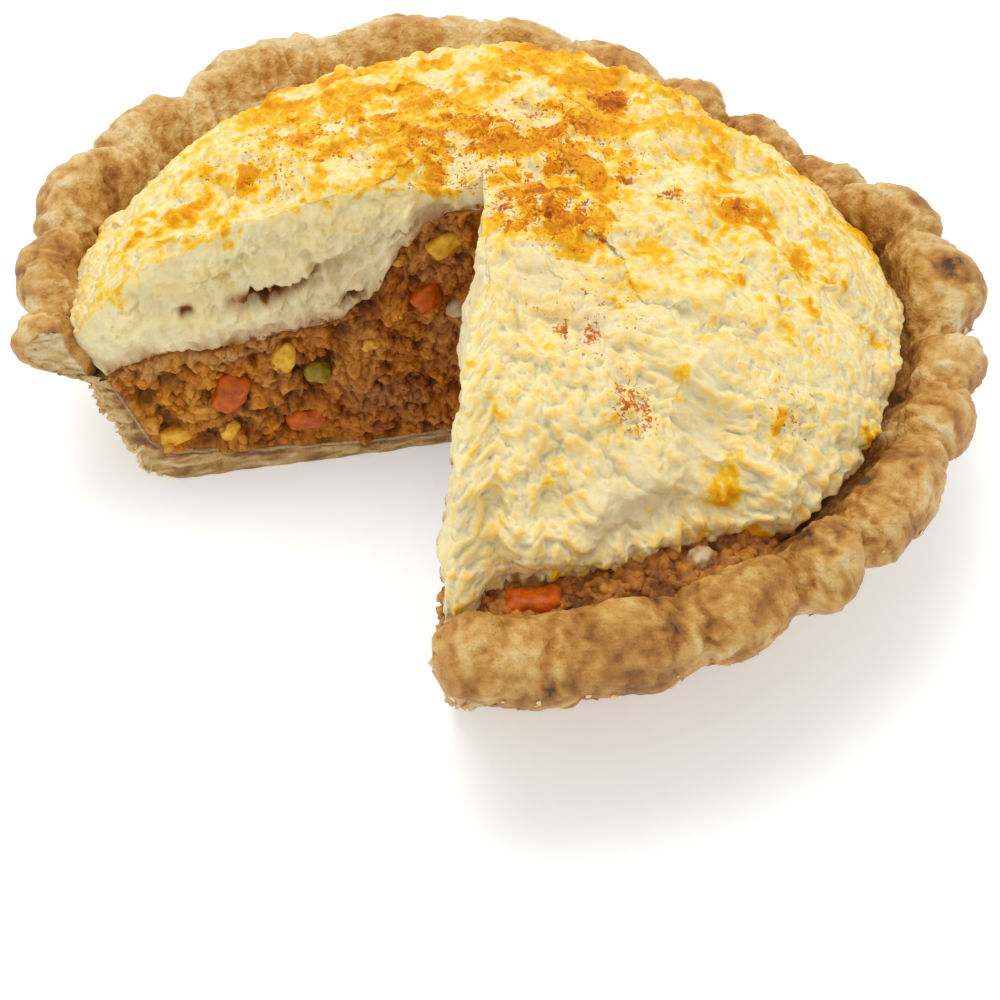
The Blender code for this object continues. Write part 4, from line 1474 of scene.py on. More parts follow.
    def colour(
        self,
        mesh: Mesh,
        moved: Array,
        flat: Array,
        fine: Array,
        smooth: Array,
        cut: Array,
        lines: tuple[Array, Array],
    ) -> None:
        """Store what the finish reads: ridges, browning, spice, wet places, stains, and painted shade and
        light.

        Args:
            mesh: The finished mesh.
            moved: Its places.
            flat: The plain form's places, from the pie's axis.
            fine: How far each vertex stands above the others round it.
            smooth: How smooth the potato is there.
            cut: Which vertices lie on a cut face.
            lines: How far up its line each vertex of a cut face is, and how long that line is.
        """
        share, length = lines
        face = self.face_pattern(moved)
        side = self.face_side(moved)
        ridge = ease(-0.75 * MM, 0.75 * MM, fine)
        patchy = soft_noise(flat[:, :2], 9.0 * MM, 41, 3)
        streaks = soft_noise(flat[:, :2] * np.array([1.0, 1.6]), 4.5 * MM, 42, 3)
        toasted = strongest(self.toasted, flat) * (1.0 - strongest(self.pale, flat))
        broken = ease(-0.15, 0.55, soft_noise(flat[:, :2], 2.6 * MM, 46, 3))
        clumps = ease(-0.40, 0.35, soft_noise(flat[:, :2], 3.6 * MM, 40, 3))
        toasted = (
            toasted * (0.85 + 0.85 * patchy + 0.60 * streaks) * (0.50 + 0.9 * ridge) * (0.22 + 0.95 * clumps)
        )
        rusty = strongest(self.browned, flat) * (0.22 + 0.95 * broken) * (0.6 + 0.6 * ridge)
        general = 0.20 * ease(0.20, 0.9, patchy) * (0.3 + ridge) * (1.0 - 0.7 * smooth)
        general += 0.52 * ease(-0.030, 0.045, flat[:, 1]) * (0.45 + 0.55 * ridge) * ease(-0.5, 0.35, patchy)
        general *= 0.35 + 0.65 * ease(-0.085, -0.055, flat[:, 0])
        browned = np.clip(np.maximum(np.maximum(toasted, rusty), general), 0.0, 1.1)
        spice = strongest(self.spiced, flat) * (0.95 + 0.5 * streaks)
        stain = np.zeros(len(moved))
        # The slits are darkened with the gravy colours: painted shade in these hollows. The seep and ragged
        # edge below are gravy stains.
        for slit in self.slits:
            stain = np.maximum(stain, np.where(side == slit.side, slit.dark * slit.at(face) ** 1.5, 0.0))
        above = moved[:, 2] - self.shape.dome_height(self.shape.radius_of(moved))
        above_seam = above - self.seam(moved)
        seep = (
            0.66
            * (1.0 - ease(-1.0 * MM, 9.5 * MM, above_seam + 3.5 * MM * soft_noise(face, 5.0 * MM, 43, 4)))
        )
        ragged = 0.86 * (1.0 - ease(0.0, 1.2 * MM, above_seam + 2.6 * MM * soft_noise(face, 3.0 * MM, 49, 3)))
        stain = np.maximum(stain, np.maximum(seep, ragged))
        below = (1.0 - share) * length + 3.5 * MM * soft_noise(face, 5.0 * MM, 48, 3)
        bare = self.shape.bareness(np.degrees(np.arctan2(flat[:, 1], flat[:, 0])))
        ledge = self.shape.dome_height(self.shape.radius_of(moved))
        over = moved[:, 2] - np.maximum(ledge, self.ledge * bare)
        crust = np.where(cut, 1.0 - ease(-1.0 * MM, 5.5 * MM, below), ease(1.0 * MM, 6.0 * MM, above))
        damp = 0.95 - 0.80 * ease(0.15, 0.85, share + 0.15 * soft_noise(face, 7.0 * MM, 44, 3))
        # The outer ends of the cut faces get less of the damp colour and so come out brighter: painted light.
        damp *= 1.0 - 0.55 * ease(0.045, 0.080, face[:, 0])
        damp = np.where(cut, damp, 0.75 * smooth)
        edged = (1.0 - side) * (1.0 - ease(0.0, 5.0 * MM, self.face_distance(moved)))
        # Hollows take the greyer cream: painted shade.
        set_number(
            mesh, "ridge", np.where(cut, 0.47 + 0.18 * soft_noise(face, 5.0 * MM, 45, 2), ridge - 0.3 * edged)
        )
        gilt = (
            bare * (1.0 - ease(2.0 * MM, 8.0 * MM, over)) * (0.06 + 0.40 * ease(-0.3, 0.6, patchy + streaks))
        )
        set_number(mesh, "browned", np.where(cut, browned * crust, np.maximum(browned * crust, gilt)))
        set_number(mesh, "spice", spice * crust)
        set_number(mesh, "damp", damp)
        damp_edge = 2.2 * MM * soft_noise(flat, 3.0 * MM, 65, 3)
        wet = (
            0.80 * (1.0 - ease(0.0, 1.8 * MM, over + damp_edge))
            * ease(0.070, 0.080, np.hypot(flat[:, 0], flat[:, 1]))
        )
        set_number(mesh, "tone", 0.45 + 0.25 * soft_noise(face, 4.0 * MM, 50, 2))
        set_number(mesh, "pale", np.full(len(moved), 0.25))
        set_number(mesh, "stain", np.where(cut, stain, wet))
        set_number(mesh, "crumbed", np.where(cut, 1.0 - ease(0.3 * MM, 3.5 * MM, above_seam), 0.0))
        set_number(mesh, "dense", np.where(cut, 0.0, ease(0.75, 1.1, spice)))


@dataclass
class MincedFilling(Swept):
    """The meat filling: crumbly cut faces, a crumbly ledge where the potato is drawn back, plain inside."""

    finish: CookedMince = CookedMince()
    boxes: list[tuple[Vector, Vector]] = field(default_factory=list)
    spacing: float = 0.55 * MM
    hidden_spacing: float = 12.0 * MM
    bare_start: float = -94.8
    bare_end: float = -36.0
    bare_radius: float = 0.083
    bare_height: float = 0.0462
    tucked: float = 0.0018

    def columns(self, radius: float) -> Array:
        """Return azimuths for a row at this radius: close where the filling is bare, else far apart."""
        sweep = math.radians(self.shape.cut_start - self.shape.cut_end)
        coarse = self.shape.azimuths(max(5, int(sweep * radius / self.hidden_spacing)))
        if radius < self.bare_radius:
            return coarse
        count = int(math.radians(self.bare_end - self.bare_start) * radius / self.spacing)
        fine = np.linspace(self.bare_start, self.bare_end, count)
        return np.concatenate([fine, coarse[coarse > self.bare_end + 0.5]])

    def build(self) -> Piece:
        """Build the filling and dress it.

        Returns:
            The finished piece.
        """
        shape = self.shape
        wall = shape.inner_radius(shape.shelf) - shape.gap
        shares = np.linspace(0.0, 1.0, int(wall / self.spacing))
        top = [self.add_point(shape.dome_height(np.zeros(1))[0], Region.HIDDEN)]
        for share in shares[1:]:
            azimuth = self.columns(share * wall)
            bare = shape.bareness(azimuth)
            rim = shape.case_radius(azimuth, np.full_like(azimuth, self.bare_height)) + self.tucked
            full = wall + bare * (rim - wall)
            plain = shape.dome_height(np.full_like(azimuth, share * wall))
            rise = bare * ease(0.080, 0.088, share * full)
            height = plain + (np.maximum(plain, self.bare_height) - plain) * rise
            top.append(self.add_row(azimuth, share * full, height, Region.OUTSIDE, 0.0))
        side = [top[-1]]
        corner = shape.inner_radius(shape.inner_corner) - shape.gap
        floor_edge = shape.floor_edge - shape.gap
        low = float(shape.floor_height(floor_edge)) + shape.gap
        azimuth = self.columns(0.5 * self.bare_radius)
        ones = np.ones_like(azimuth)
        for height in np.linspace(shape.shelf, low, 60)[1:]:
            radius = shape.inner_radius(height) - shape.gap
            if height < shape.inner_corner:
                radius = floor_edge + (corner - floor_edge) * (height - low) / (shape.inner_corner - low)
            side.append(self.add_row(azimuth, radius * ones, height * ones, Region.HIDDEN, 0.0))
        under = [side[-1]]
        for share in shares[-2:0:-1]:
            azimuth = self.columns(min(share * floor_edge, 0.9 * self.bare_radius))
            radius = np.full_like(azimuth, share * floor_edge)
            under.append(
                self.add_row(azimuth, radius, shape.floor_height(radius) + shape.gap, Region.HIDDEN, 0.0)
            )
        under.append(self.add_point(float(shape.floor_height(0.0)) + shape.gap, Region.HIDDEN))
        self.fill_cuts(list(zip(under[::-1], top)), side[::-1], self.spacing)
        return self.dress()

    def room(self, places: Array) -> Array:
        """Return how much the filling makes room for the vegetable pieces at each place."""
        found = np.zeros(len(places))
        for low, high in self.boxes:
            middle = 0.5 * (np.array(low) + np.array(high))
            half = 0.5 * (np.array(high) - np.array(low))
            away = np.linalg.norm((places - middle) / half, axis=1)
            found = np.maximum(found, 1.0 - ease(0.80, 1.35, away))
        return found

    def dress(self) -> Piece:
        """Give the plain skin its crumbs and its colours.

        Returns:
            The finished piece.
        """
        mesh = self.skin.mesh("meat_filling_crumbled")
        places = places_of(mesh)
        region = self.skin.region()
        cut = region == Region.CUT.value
        face = self.face_pattern(places)
        spots = np.where(cut[:, None], face + 0.4 * self.face_side(places)[:, None], places[:, :2])
        relief, tone, hollow = self.crumbs(spots)
        room = self.room(places)
        relief = relief * (1.0 - 0.8 * room) - 1.3 * MM * room
        hollow *= 1.0 - 0.6 * room
        flat = self.shape.from_axis(places)
        turn = np.degrees(np.arctan2(flat[:, 1], flat[:, 0])) % WHOLE_TURN
        shown = (region == Region.OUTSIDE.value) & (self.shape.radius_of(places) > self.bare_radius)
        shown &= (turn > 262.0) & (turn < WHOLE_TURN + self.bare_end)
        moves = np.array([0.0, 0.0, 1.0]) * np.where(shown, 0.8 * relief + 0.5 * MM, 0.0)[:, None]
        moves[:, 2] += np.where((region == Region.OUTSIDE.value) & ~shown, self.seam(places), 0.0)
        self.settle(mesh, moves, relief - 0.3 * MM, 1.1 * MM)
        above = self.shape.dome_height(self.shape.radius_of(places)) - places[:, 2]
        greyed = 1.0 - ease(0.0, 7.0 * MM, above + 3.0 * MM * soft_noise(spots, 7.0 * MM, 62, 2))
        pale = (
            0.28 * ease(-0.2, 0.9, soft_noise(spots, 11.0 * MM, 63, 2))
            + 0.55 * greyed * ease(0.045, 0.060, face[:, 0])
        )
        lighter = 0.16 * ease(0.045, 0.085, face[:, 0]) - 0.05
        set_number(mesh, "tone", tone + lighter - 0.20 * shown)
        # Holes, cracks and rifts are darkened: painted shade.
        set_number(mesh, "hollow", np.where(cut | shown, np.clip(hollow, 0.0, 1.0), 0.0))
        set_number(mesh, "pale", np.where(cut, pale, 0.25))
        topmost = 1.0 + 3.0 * (1.0 - ease(0.5 * MM, 2.5 * MM, above + self.seam(places)))
        set_number(
            mesh, "dense",
            np.where(cut | shown, (1.0 - 0.7 * hollow) * (1.0 - room) * topmost * (1.0 - 0.6 * shown), 0.0)
        )
        LOG.info("filling: %d triangles", len(mesh.polygons))
        return add_piece("meat_filling_crumbled", mesh, self.finish.material())

    def crumbs(self, spots: Array) -> tuple[Array, Array, Array]:
        """Return the crumbly surface at places of a flat pattern.

        Args:
            spots: The places.

        Returns:
            The relief in metres, each crumb's tone, and how deep in a hole or crack each place is, painted as
            shade.
        """
        warp = noise_pair(spots, 2.4 * MM, (51, 52), 3) * 1.15 * MM
        relief = 0.7 * MM * soft_noise(spots, 12.0 * MM, 53, 2)
        tone = 0.5 + 0.16 * soft_noise(spots, 13.0 * MM, 60, 2)
        hollow = np.zeros(len(spots))
        for size, rise, seed, weight in ((8.0, 1.8, 54, 0.26), (4.0, 1.2, 55, 0.32), (1.9, 0.6, 56, 0.34)):
            first, second, own = cell_noise(spots + warp, size * MM, seed)
            relief += rise * MM * ((own - 0.5) * 1.5 - 1.0 * first**2 + 0.3)
            tone += weight * (own - 0.5)
            crack = (1.0 - ease(0.0, 0.20, second - first)) * ease(0.3, 1.0, own)
            relief -= 0.5 * rise * MM * crack
            hollow = np.maximum(hollow, crack * 0.45 * min(size / 4.0, 1.0))
            hole = np.where(own < 0.10, 1.0 - ease(0.20, 0.55, first), 0.0)
            relief -= 1.1 * rise * MM * hole
            hollow = np.maximum(hollow, 0.62 * hole)
        rifts = 1.0 - ease(0.0, 0.16, np.abs(soft_noise(spots + warp, 9.0 * MM, 58, 3)))
        rifts *= ease(-0.2, 0.4, soft_noise(spots, 14.0 * MM, 59, 2))
        relief += 0.45 * MM * soft_noise(spots, 1.6 * MM, 57, 3) - 1.5 * MM * rifts
        return relief, tone, np.maximum(hollow, 0.7 * rifts)


class Part(Enum):
    """The parts of the pastry's section, from the apex outwards, and how many rows each has."""

    FLOOR = 84
    FOOT = 13
    WALL = 21
    UNDER = 9
    RIM = 42


@dataclass
class PastryCase(Swept):
    """The baked pastry: a crimped and wrinkled rim, a flaky wall, and two pale porous cut ends."""

    finish: BakedPastry = BakedPastry()
    rim_columns: int = 840
    wall_columns: int = 420
    foot_columns: int = 300
    hidden_columns: int = 44
    row_step: float = 0.7 * MM
    rim_start: float = -72.0
    rim_top: float = 96.0
    least_puff: float = 0.0014
    puff: float = 0.0024
    burnt: tuple = (
        Spot(108.2, 35.4, 4.0, 0.4), Spot(120.6, 4.6, 5.0, 0.45), Spot(105.0, -29.3, 3.5, 0.5),
        Spot(87.1, -64.5, 4.5, 0.6), Spot(112.0, 24.0, 6.0, 0.2), Spot(70.0, -84.0, 6.0, 0.25),
    )
    flat_floor: float = 0.085
    edge_round: float = 4.5 * MM

    def build(self) -> Piece:
        """Build the pastry and dress it.

        Returns:
            The finished piece.
        """
        steps = [(part, (number + 1.0) / part.value) for part in Part for number in range(part.value)]
        outer = [self.add_point(0.0, Region.HIDDEN)]
        for number, (part, share) in enumerate(steps):
            azimuth = self.outer_columns(part)
            radius, height = self.outer_section(part, share, azimuth)
            region = Region.HIDDEN if part is Part.FLOOR else Region.OUTSIDE
            outer.append(self.add_row(azimuth, radius, height, region, self.row_step * number))
        inner = []
        for number, (part, share) in enumerate(reversed(steps[:-1])):
            azimuth = self.inner_columns(part, share)
            radius, height = self.inner_section(part, share, azimuth)
            region = Region.OUTSIDE if part is Part.RIM else Region.HIDDEN
            inner.append(
                self.add_row(azimuth, radius, height, region, self.row_step * (len(steps) + 0.7 * number))
            )
        inner.append(self.add_point(float(self.shape.floor_height(0.0)), Region.HIDDEN))
        self.fill_cuts(list(zip(outer[:-1], inner[::-1])), None, self.row_step)
        for end in (0, -1):
            last = [line for line, side in self.lines if side == end][-1]
            self.skin.join(last, outer[-1][[end]], np.linspace(0.0, 1.0, len(last)), np.zeros(1))
        return self.dress()

    def outer_columns(self, part: Part) -> Array:
        """Return azimuths for a row of the outer side."""
        counts = {Part.FLOOR: self.hidden_columns, Part.FOOT: self.foot_columns, Part.WALL: self.wall_columns}
        return self.shape.azimuths(counts.get(part, self.rim_columns))

    def inner_columns(self, part: Part, share: float) -> Array:
        """Return azimuths for a row of the inner side."""
        shown = part is Part.RIM and share > 0.2
        return self.shape.azimuths(self.rim_columns if shown else self.hidden_columns)

    def outer_section(self, part: Part, share: float, azimuth: Array) -> tuple[Array, Array]:
        """Return the outer side's radius and height along a row.

        Args:
            part: The part of the section.
            share: How far along that part.
            azimuth: Azimuths.

        Returns:
            Radii and heights.
        """
        shape = self.shape
        ones = np.ones_like(azimuth)
        outer_foot = shape.inner_radius(shape.foot_corner) + shape.wall_thickness
        under = shape.inner_radius(shape.under_rim) + shape.wall_thickness
        if part is Part.FLOOR:
            return share * shape.foot_radius * ones, 0.0 * ones
        if part is Part.FOOT:
            turn = 0.5 * math.pi * share
            radius = shape.foot_radius + (outer_foot - shape.foot_radius) * math.sin(turn)
            return radius * ones, shape.foot_corner * (1.0 - math.cos(turn)) * ones
        if part is Part.WALL:
            height = shape.foot_corner + (shape.under_rim - shape.foot_corner) * share
            return (outer_foot + (under - outer_foot) * share) * ones, height * ones
        if part is Part.UNDER:
            radius, height = self.rim_section(azimuth, self.rim_start)
            return under + (radius - under) * share, shape.under_rim + (height - shape.under_rim) * share
        return self.rim_section(azimuth, self.rim_start + (self.rim_top - self.rim_start) * share)

    def rim_section(self, azimuth: Array, around: float) -> tuple[Array, Array]:
        """Return the rim's radius and height at an angle round its section."""
        shape = self.shape
        crimp, fullness = shape.crimp_at(azimuth)
        reach = shape.rim_tube + shape.crimp_swell * fullness * shape.swelling(crimp, around)
        turn = math.radians(around)
        radius = shape.rim_radius(azimuth) + reach * math.cos(turn)
        return (
            np.maximum(radius, shape.mouth_radius(azimuth)), shape.rim_height(azimuth)
            + reach * math.sin(turn)
        )

    def inner_section(self, part: Part, share: float, azimuth: Array) -> tuple[Array, Array]:
        """Return the inner side's radius and height along a row.

        Args:
            part: The part of the section.
            share: How far along that part.
            azimuth: Azimuths.

        Returns:
            Radii and heights.
        """
        shape = self.shape
        ones = np.ones_like(azimuth)
        if part is Part.FLOOR:
            radius = share * self.flat_floor * ones
            return radius, shape.floor_height(radius)
        if part is Part.FOOT:
            low = shape.floor_height(self.flat_floor)
            radius = self.flat_floor + (shape.inner_radius(shape.inner_corner) - self.flat_floor) * share**0.7
            return radius * ones, (low + (shape.inner_corner - low) * share**1.6) * ones
        if part in (Part.WALL, Part.UNDER):
            low, high = (shape.inner_corner, 0.036) if part is Part.WALL else (0.036, shape.shelf)
            height = low + (high - low) * share
            return shape.inner_radius(height) * ones, height * ones
        mouth_height = shape.rim_height(azimuth) - shape.mouth_drop
        if share <= 0.4:
            height = shape.shelf + (mouth_height - shape.shelf) * share / 0.4
            return shape.case_radius(azimuth, height), height
        # From its mouth the rim rises to its crest, fuller where it is fuller, nearly straight at the back.
        slope = (share - 0.4) / 0.6
        mouth = shape.mouth_radius(azimuth)
        radius, height = self.rim_section(azimuth, self.rim_top)
        crimp, fullness = shape.crimp_at(azimuth)
        puffed = self.puff * fullness * shape.swelling(crimp, self.rim_top)
        puffed *= 1.0 - ease(62.0, 88.0, azimuth) * (1.0 - ease(182.0, 191.0, azimuth))
        bulge = (self.least_puff + np.maximum(puffed, 0.0)) * math.sin(math.pi * slope)
        across = mouth + (radius - mouth) * slope - 0.45 * bulge
        return across, mouth_height + (height - mouth_height) * slope + bulge

    def pinched(self, azimuth: Array) -> Array:
        """Return how near each azimuth is to a pinch of the rim, from 0 to 1."""
        crimp, _ = self.shape.crimp_at(azimuth)
        return (1.0 - np.abs(np.sin(math.pi * crimp))) ** 1.6

    def dress(self) -> Piece:
        """Give the plain skin its wrinkles, blisters, flaky edge and colours.

        Returns:
            The finished piece.
        """
        mesh = self.skin.mesh("pastry_case_baked")
        places = places_of(mesh)
        normals = self.normals(mesh)
        region = self.skin.region()
        outside = region == Region.OUTSIDE.value
        flat = self.shape.from_axis(places)
        azimuth = np.arctan2(flat[:, 1], flat[:, 0])
        round_ways = np.stack(
            [azimuth * self.shape.rim_middle, np.linalg.norm(self.skin.pattern(), axis=1)], 1
        )
        warp = noise_pair(places, 7.0 * MM, (79, 80), 2)
        low = 1.0 - ease(0.039, 0.046, places[:, 2])
        lumps = soft_noise(places, 8.0 * MM, 71, 2)
        creases = np.abs(soft_noise(round_ways * np.array([1.0, 0.45]) + 2.4 * MM * warp, 4.6 * MM, 72, 3))
        creases = (1.0 - ease(0.0, 0.45, creases)) * ease(-0.3, 0.5, soft_noise(places, 12.0 * MM, 86, 2))
        first, _, own = cell_noise(places, 5.0 * MM, 73)
        blisters = np.where(own > 0.72, 1.0 - ease(0.10, 0.45, first), 0.0)
        layers = np.stack([round_ways[:, 0] * 0.22, places[:, 2] + 0.8 * MM * warp[:, 0]], 1)
        flaky = soft_noise(layers, 1.5 * MM, 74, 3)
        bumps = soft_noise(places, 3.4 * MM, 84, 3)
        folds = round_ways * np.array([1.0, 0.34]) + 2.0 * MM * warp
        folds = soft_noise(folds, 3.6 * MM, 85, 3) * (0.25 + 0.9 * self.pinched(np.degrees(azimuth)))
        relief = 0.75 * MM * lumps + (1.0 - low) * 0.50 * MM * creases + 0.40 * MM * blisters
        relief += low * 0.95 * MM * flaky + 0.55 * MM * bumps + (1.0 - low) * 1.20 * MM * folds - 0.2 * MM
        fine = relief - smoothed(mesh, relief, 12)
        behind = self.face_distance(places)
        share = np.clip(1.0 - behind / self.edge_round, 0.0, 1.0)
        over = ease(0.024, 0.040, places[:, 2])
        rounded = over * (2.6 * MM * (1.0 - np.sqrt(1.0 - share**2)) + 0.8 * MM * share * (1.0 + warp[:, 1]))
        moves = normals * np.where(outside, relief - rounded, 0.0)[:, None]
        moves[:, 2] = np.maximum(moves[:, 2], -places[:, 2])
        moves[places[:, 2] < 0.1 * MM] = 0.0
        face = self.face_pattern(places)
        first, _, own = cell_noise(face, 1.4 * MM, 76)
        pores = np.where(own < 0.25, 1.0 - ease(0.1, 0.5, first), 0.0)
        torn = 0.40 * MM * soft_noise(face * np.array([0.35, 1.0]), 1.8 * MM, 77, 3) - 0.2 * MM * pores
        torn += 0.6 * MM * soft_noise(face, 4.0 * MM, 78, 3)
        across, length = self.line_shares(len(places))
        self.settle(
            mesh, moves, torn * np.clip(np.minimum(across, 1.0 - across) * length / MM, 0.0, 1.0), 0.9 * MM
        )
        self.colour(mesh, places, np.degrees(azimuth), fine, creases, region, (across, length, pores))
        LOG.info("pastry: %d triangles", len(mesh.polygons))
        return add_piece("pastry_case_baked", mesh, self.finish.material())

    def colour(
        self,
        mesh: Mesh,
        places: Array,
        azimuth: Array,
        fine: Array,
        creases: Array,
        region: Array,
        crumb: tuple[Array, Array, Array],
    ) -> None:
        """Store what the finish reads: the skin's browning with painted shade and light, and the tone of the
        cut crumb.

        Args:
            mesh: The finished mesh.
            places: The plain form's places.
            azimuth: Their azimuths.
            fine: How far each vertex stands above the others round it.
            creases: Where the creases are.
            region: The part of the piece that each vertex lies on.
            crumb: Where on its line each vertex of a cut face lies, the line's length, and the pores.
        """
        cut = region == Region.CUT.value
        radius = self.shape.radius_of(places)
        patches = soft_noise(places, 11.0 * MM, 81, 5)
        spots = 2.0 * ease(-0.8, 0.8, soft_noise(places, 4.5 * MM, 82, 4)) - 1.0
        pinched = self.pinched(azimuth)
        # The last term browns fine hollows and pales fine ridges: painted shade in the hollows.
        baked = (
            0.45 + 0.30 * patches + 0.18 * spots - 0.08 * creases
            - 0.26 * np.clip(fine / (0.6 * MM), -1.0, 1.0)
        )
        inner = (
            (1.0 - ease(-0.006, 0.002, radius - self.shape.rim_radius(azimuth)))
            * ease(0.044, 0.050, places[:, 2])
        )
        under = (1.0 - ease(0.041, 0.056, places[:, 2])) * ease(0.030, 0.036, places[:, 2])
        bell = self.shape.bell
        # Painted shade: browner on the rim's front and in the band under the rim. The rim's inner slope is
        # browner too, partly from baking and partly as painted shade.
        baked += (
            bell((-75.0, 22.0, 0.08), azimuth) + bell((5.0, 40.0, -0.08), azimuth) + 0.10 * inner
            + 0.16 * under
        )
        # Painted light: paler at the back and the left back of the rim. The pinches are paler in their own
        # colour.
        baked -= bell((90.0, 45.0, 0.10), azimuth) + bell((132.0, 32.0, 0.24), azimuth) + 0.12 * pinched
        baked += strongest(self.burnt, self.shape.from_axis(places)) * (0.7 + 0.8 * spots)
        across, length, pores = crumb
        face = self.face_pattern(places)
        stained = (1.0 - across) * length + 1.6 * MM * soft_noise(face, 6.0 * MM, 87, 3)
        stained = (1.0 - ease(0.8 * MM, 4.2 * MM, stained)) * (1.0 - ease(0.036, 0.044, places[:, 2]))
        skin = 1.0 - ease(0.2 * MM, 1.1 * MM, np.minimum(across, 1.0 - across) * length)
        layers = soft_noise(face * np.array([0.25, 1.0]), 1.3 * MM, 83, 2)
        wall = 1.0 - ease(0.030, 0.044, places[:, 2])
        # Pores in the cut crumb are darker: painted shade.
        tone = 0.80 + 0.50 * layers - 0.14 * pores - 0.42 * stained - 0.28 * skin - 0.22 * wall
        low = 1.0 - ease(0.036, 0.044, places[:, 2])
        baked -= 0.45 * low * (1.0 - ease(0.004, 0.016, self.face_distance(places)))
        set_number(mesh, "baked", baked)
        set_number(mesh, "cut", cut.astype(float))
        set_number(mesh, "crumb", tone)
        near_cut = 4.0 * (1.0 - ease(0.0, 0.010, self.face_distance(places)))
        fringe = (
            np.exp(-(((places[:, 2] - 0.0425) / 0.0035) ** 2)) * (radius > self.shape.rim_radius(azimuth))
        )
        wall_fringe = near_cut * (1.0 - ease(0.034, 0.043, places[:, 2])) * ease(0.001, 0.004, places[:, 2])
        shown = region == Region.OUTSIDE.value
        set_number(mesh, "dense", np.where(shown, 0.30 * fringe, 0.0))
        set_number(mesh, "frayed", np.where(shown, wall_fringe, 0.0))


# ---- Vegetables, studio and the whole ----


class Kind(Enum):
    """The vegetables in the pie: the name that their nodes start with, and their finish."""

    CORN = ("corn", cooked_vegetable("sweetcorn, cooked", 0.34, "CE8E06", "F2C440", 0.15))
    CARROT = ("carrot", cooked_vegetable("carrot, cooked", 0.40, "9C4000", "DC6800", 0.10))
    GREEN_BEAN = ("green_bean", cooked_vegetable("green bean, cooked", 0.38, "7A6206", "A88C1C", 0.10))
    ONION = ("onion", cooked_vegetable("onion, fried", 0.32, "A87E48", "E2CFA6", 0.25))


@dataclass
class VegetablePieces:
    """The vegetable pieces, each made from its own solid, rounded and a little wrinkled."""

    nodes: dict[str, Piece]
    wrinkle: float = 0.45 * MM
    swell: float = 1.12
    squareness: float = 0.4
    rounds: int = 2

    def build(self) -> list[tuple[Piece, str, str]]:
        """Build every piece.

        Returns:
            For each piece, the piece, the node that it replaces and its slot.
        """
        made = []
        for kind in Kind:
            slot, finish = kind.value
            material = finish.material()
            for name in sorted(self.nodes):
                if name.rsplit("_", 1)[0] == slot:
                    made.append((self.piece(name, material), name, slot))
        return made

    def piece(self, name: str, material: Material) -> Piece:
        """Build one piece.

        Args:
            name: Its node.
            material: Its finish.

        Returns:
            The finished piece.
        """
        plain = self.nodes[name].data.copy()
        work = bmesh.new()
        work.from_mesh(plain)
        bmesh.ops.remove_doubles(work, verts=work.verts[:], dist=0.01 * MM)
        work.to_mesh(plain)
        work.free()
        host = bpy.data.objects.new(name + "_host", plain)
        bpy.context.scene.collection.objects.link(host)
        rounder = host.modifiers.new("round", "SUBSURF")
        rounder.levels = rounder.render_levels = self.rounds
        bpy.context.view_layer.update()
        mesh = bpy.data.meshes.new_from_object(host.evaluated_get(bpy.context.evaluated_depsgraph_get()))
        bpy.data.objects.remove(host)
        places = places_of(mesh)
        middle = places.mean(axis=0)
        axes = np.linalg.svd(places - middle, full_matrices=False)[2]
        half = np.abs((places - middle) @ axes.T).max(axis=0)
        spread = (places - middle) @ axes.T / half
        boxy = np.linalg.norm(spread, axis=1) / np.sum(spread**4, axis=1) ** 0.25
        spread *= (1.0 + self.squareness * (boxy - 1.0))[:, None]
        places = middle + (spread * half * self.swell) @ axes
        places += normals_of(mesh) * (self.wrinkle * soft_noise(places, 2.2 * MM, 91, 2))[:, None]
        set_places(mesh, places)
        mesh.shade_smooth()
        mesh.name = name + "_cooked"
        return add_piece(mesh.name, mesh, material)


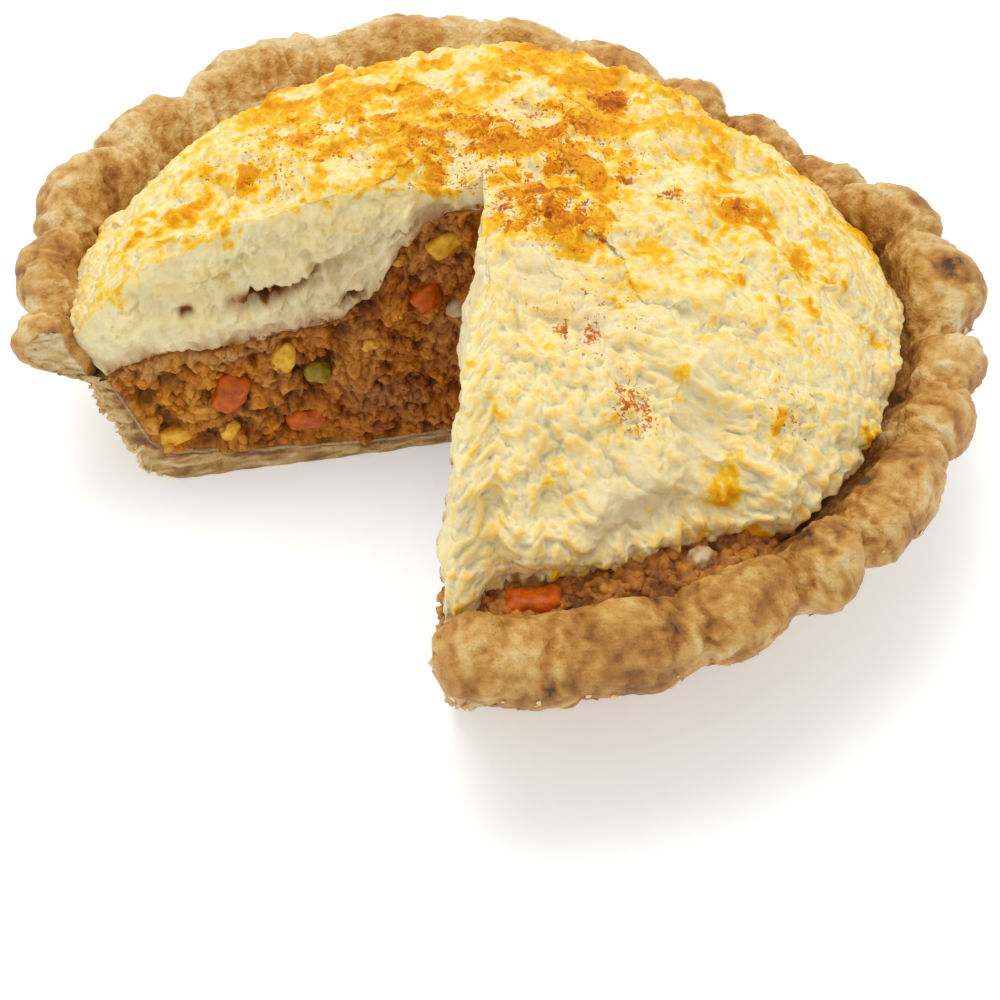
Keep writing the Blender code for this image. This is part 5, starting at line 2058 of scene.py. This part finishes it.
@dataclass(frozen=True)
class Studio:
    """A plain white table, soft light and the camera."""

    camera_place: tuple = (-0.00058, -0.33061, 0.34700)
    camera_forward: tuple = (0.0, 0.65943, -0.75177)
    camera_roll: float = 0.6
    camera_lens: float = 60.45
    floor_size: float = 6.0
    floor_glow: float = 0.30
    world_strength: float = 0.80
    key_power: float = 11.5
    key_size: float = 0.9
    key_place: tuple = (-0.22, 0.32, 1.5)

    def build(self) -> Piece:
        """Build the studio.

        Returns:
            The floor.
        """
        scene = bpy.context.scene
        scene.view_settings.view_transform = "Standard"
        world = bpy.data.worlds.new("studio")
        world.use_nodes = True
        world.node_tree.nodes["Background"].inputs["Color"].default_value = linear("FFFFFF")
        world.node_tree.nodes["Background"].inputs["Strength"].default_value = self.world_strength
        scene.world = world
        self.light("key", self.key_place, self.key_power, self.key_size)
        self.camera()
        material = bpy.data.materials.new("painted board, matt white")
        material.use_nodes = True
        shader = material.node_tree.nodes["Principled BSDF"]
        shader.inputs["Base Color"].default_value = linear("E6ECEE")
        shader.inputs["Roughness"].default_value = 0.9
        shader.inputs["Specular IOR Level"].default_value = 0.1
        shader.inputs["Emission Color"].default_value = linear("FFFFFF")
        shader.inputs["Emission Strength"].default_value = self.floor_glow
        mesh = bpy.data.meshes.new("floor")
        half = 0.5 * self.floor_size
        corners = [(-half, -half, 0.0), (half, -half, 0.0), (half, half, 0.0), (-half, half, 0.0)]
        mesh.from_pydata(corners, [], [(0, 1, 2, 3)])
        return add_piece("floor", mesh, material)

    def light(self, name: str, place: tuple, power: float, size: float) -> None:
        """Add a square area light that faces the pie."""
        data = bpy.data.lights.new(name, "AREA")
        data.energy = power
        data.size = size
        lamp = bpy.data.objects.new(name, data)
        lamp.location = place
        lamp.rotation_euler = (-Vector(place)).to_track_quat("-Z", "Y").to_euler()
        bpy.context.scene.collection.objects.link(lamp)

    def camera(self) -> None:
        """Add the camera."""
        data = bpy.data.cameras.new("camera")
        data.lens = self.camera_lens
        data.sensor_width = 36.0
        data.clip_start = 0.01
        camera = bpy.data.objects.new("camera", data)
        forward = Vector(self.camera_forward).normalized()
        right = Vector((1.0, 0.0, 0.0))
        up = right.cross(forward)
        roll = math.radians(self.camera_roll)
        turned = right * math.cos(roll) + up * math.sin(roll)
        upright = turned.cross(forward)
        turn = Matrix((turned, upright, -forward)).transposed()
        camera.matrix_world = Matrix.Translation(self.camera_place) @ turn.to_4x4()
        bpy.context.scene.collection.objects.link(camera)
        bpy.context.scene.camera = camera


def keep(piece: Piece, node: str | None = None) -> None:
    """Hand a finished piece to the frame.

    Args:
        piece: The piece.
        node: The solid that it stands for, if any.
    """
    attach(piece, "root")
    if node:
        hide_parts(node)
    LOG.info("%s: %d faces", piece.name, len(piece.data.polygons))


def main() -> None:
    """Build the pie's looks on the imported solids, and the studio round it."""
    logging.basicConfig(level=logging.INFO, format="%(message)s")
    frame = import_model()
    shape = PieShape()
    vegetables = ("corn", "carrot", "green_bean", "onion")
    boxes = [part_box(name) for name in frame["nodes"] if name.startswith(vegetables)]
    potato = PotatoCap(shape).build()
    filling = MincedFilling(shape, boxes=boxes).build()
    pastry = PastryCase(shape).build()
    keep(potato, "mashed_potato")
    keep(filling, "meat_filling")
    keep(pastry, "pastry_case")
    for piece, node, slot in VegetablePieces(frame["nodes"]).build():
        keep(piece, node)
    mince = filling.data.materials[0]
    crumbs = LooseBits("mince_crumbs", 1.3e5, 1.2 * MM, 3.8 * MM, 0.75, -0.6 * MM, 5)
    keep(crumbs.strew(filling.data, mince))
    stray = LooseBits("mince_at_seam", 5.0e5, 0.7 * MM, 2.0 * MM, 0.7, -0.4 * MM, 8, dense="crumbed")
    keep(stray.strew(potato.data, mince))
    grains = LooseBits("paprika_grains", 1.1e6, 0.35 * MM, 0.8 * MM, 0.5, 0.0, 6)
    keep(grains.strew(potato.data, PAPRIKA.material()))
    flaky = FLAKES.material()
    flakes = LooseBits("pastry_flakes", 1.6e5, 1.0 * MM, 2.6 * MM, 0.16, -0.1 * MM, 7, 0.4, 0.35, 1.4)
    keep(flakes.strew(pastry.data, flaky))
    layers = LooseBits(
        "frayed_layers", 1.3e5, 2.0 * MM, 4.6 * MM, 0.13, -0.9 * MM, 9, 0.3, 1.3, 1.2, "frayed"
    )
    keep(layers.strew(pastry.data, flaky))
    Studio().build()


if __name__ == "__main__":
    main()
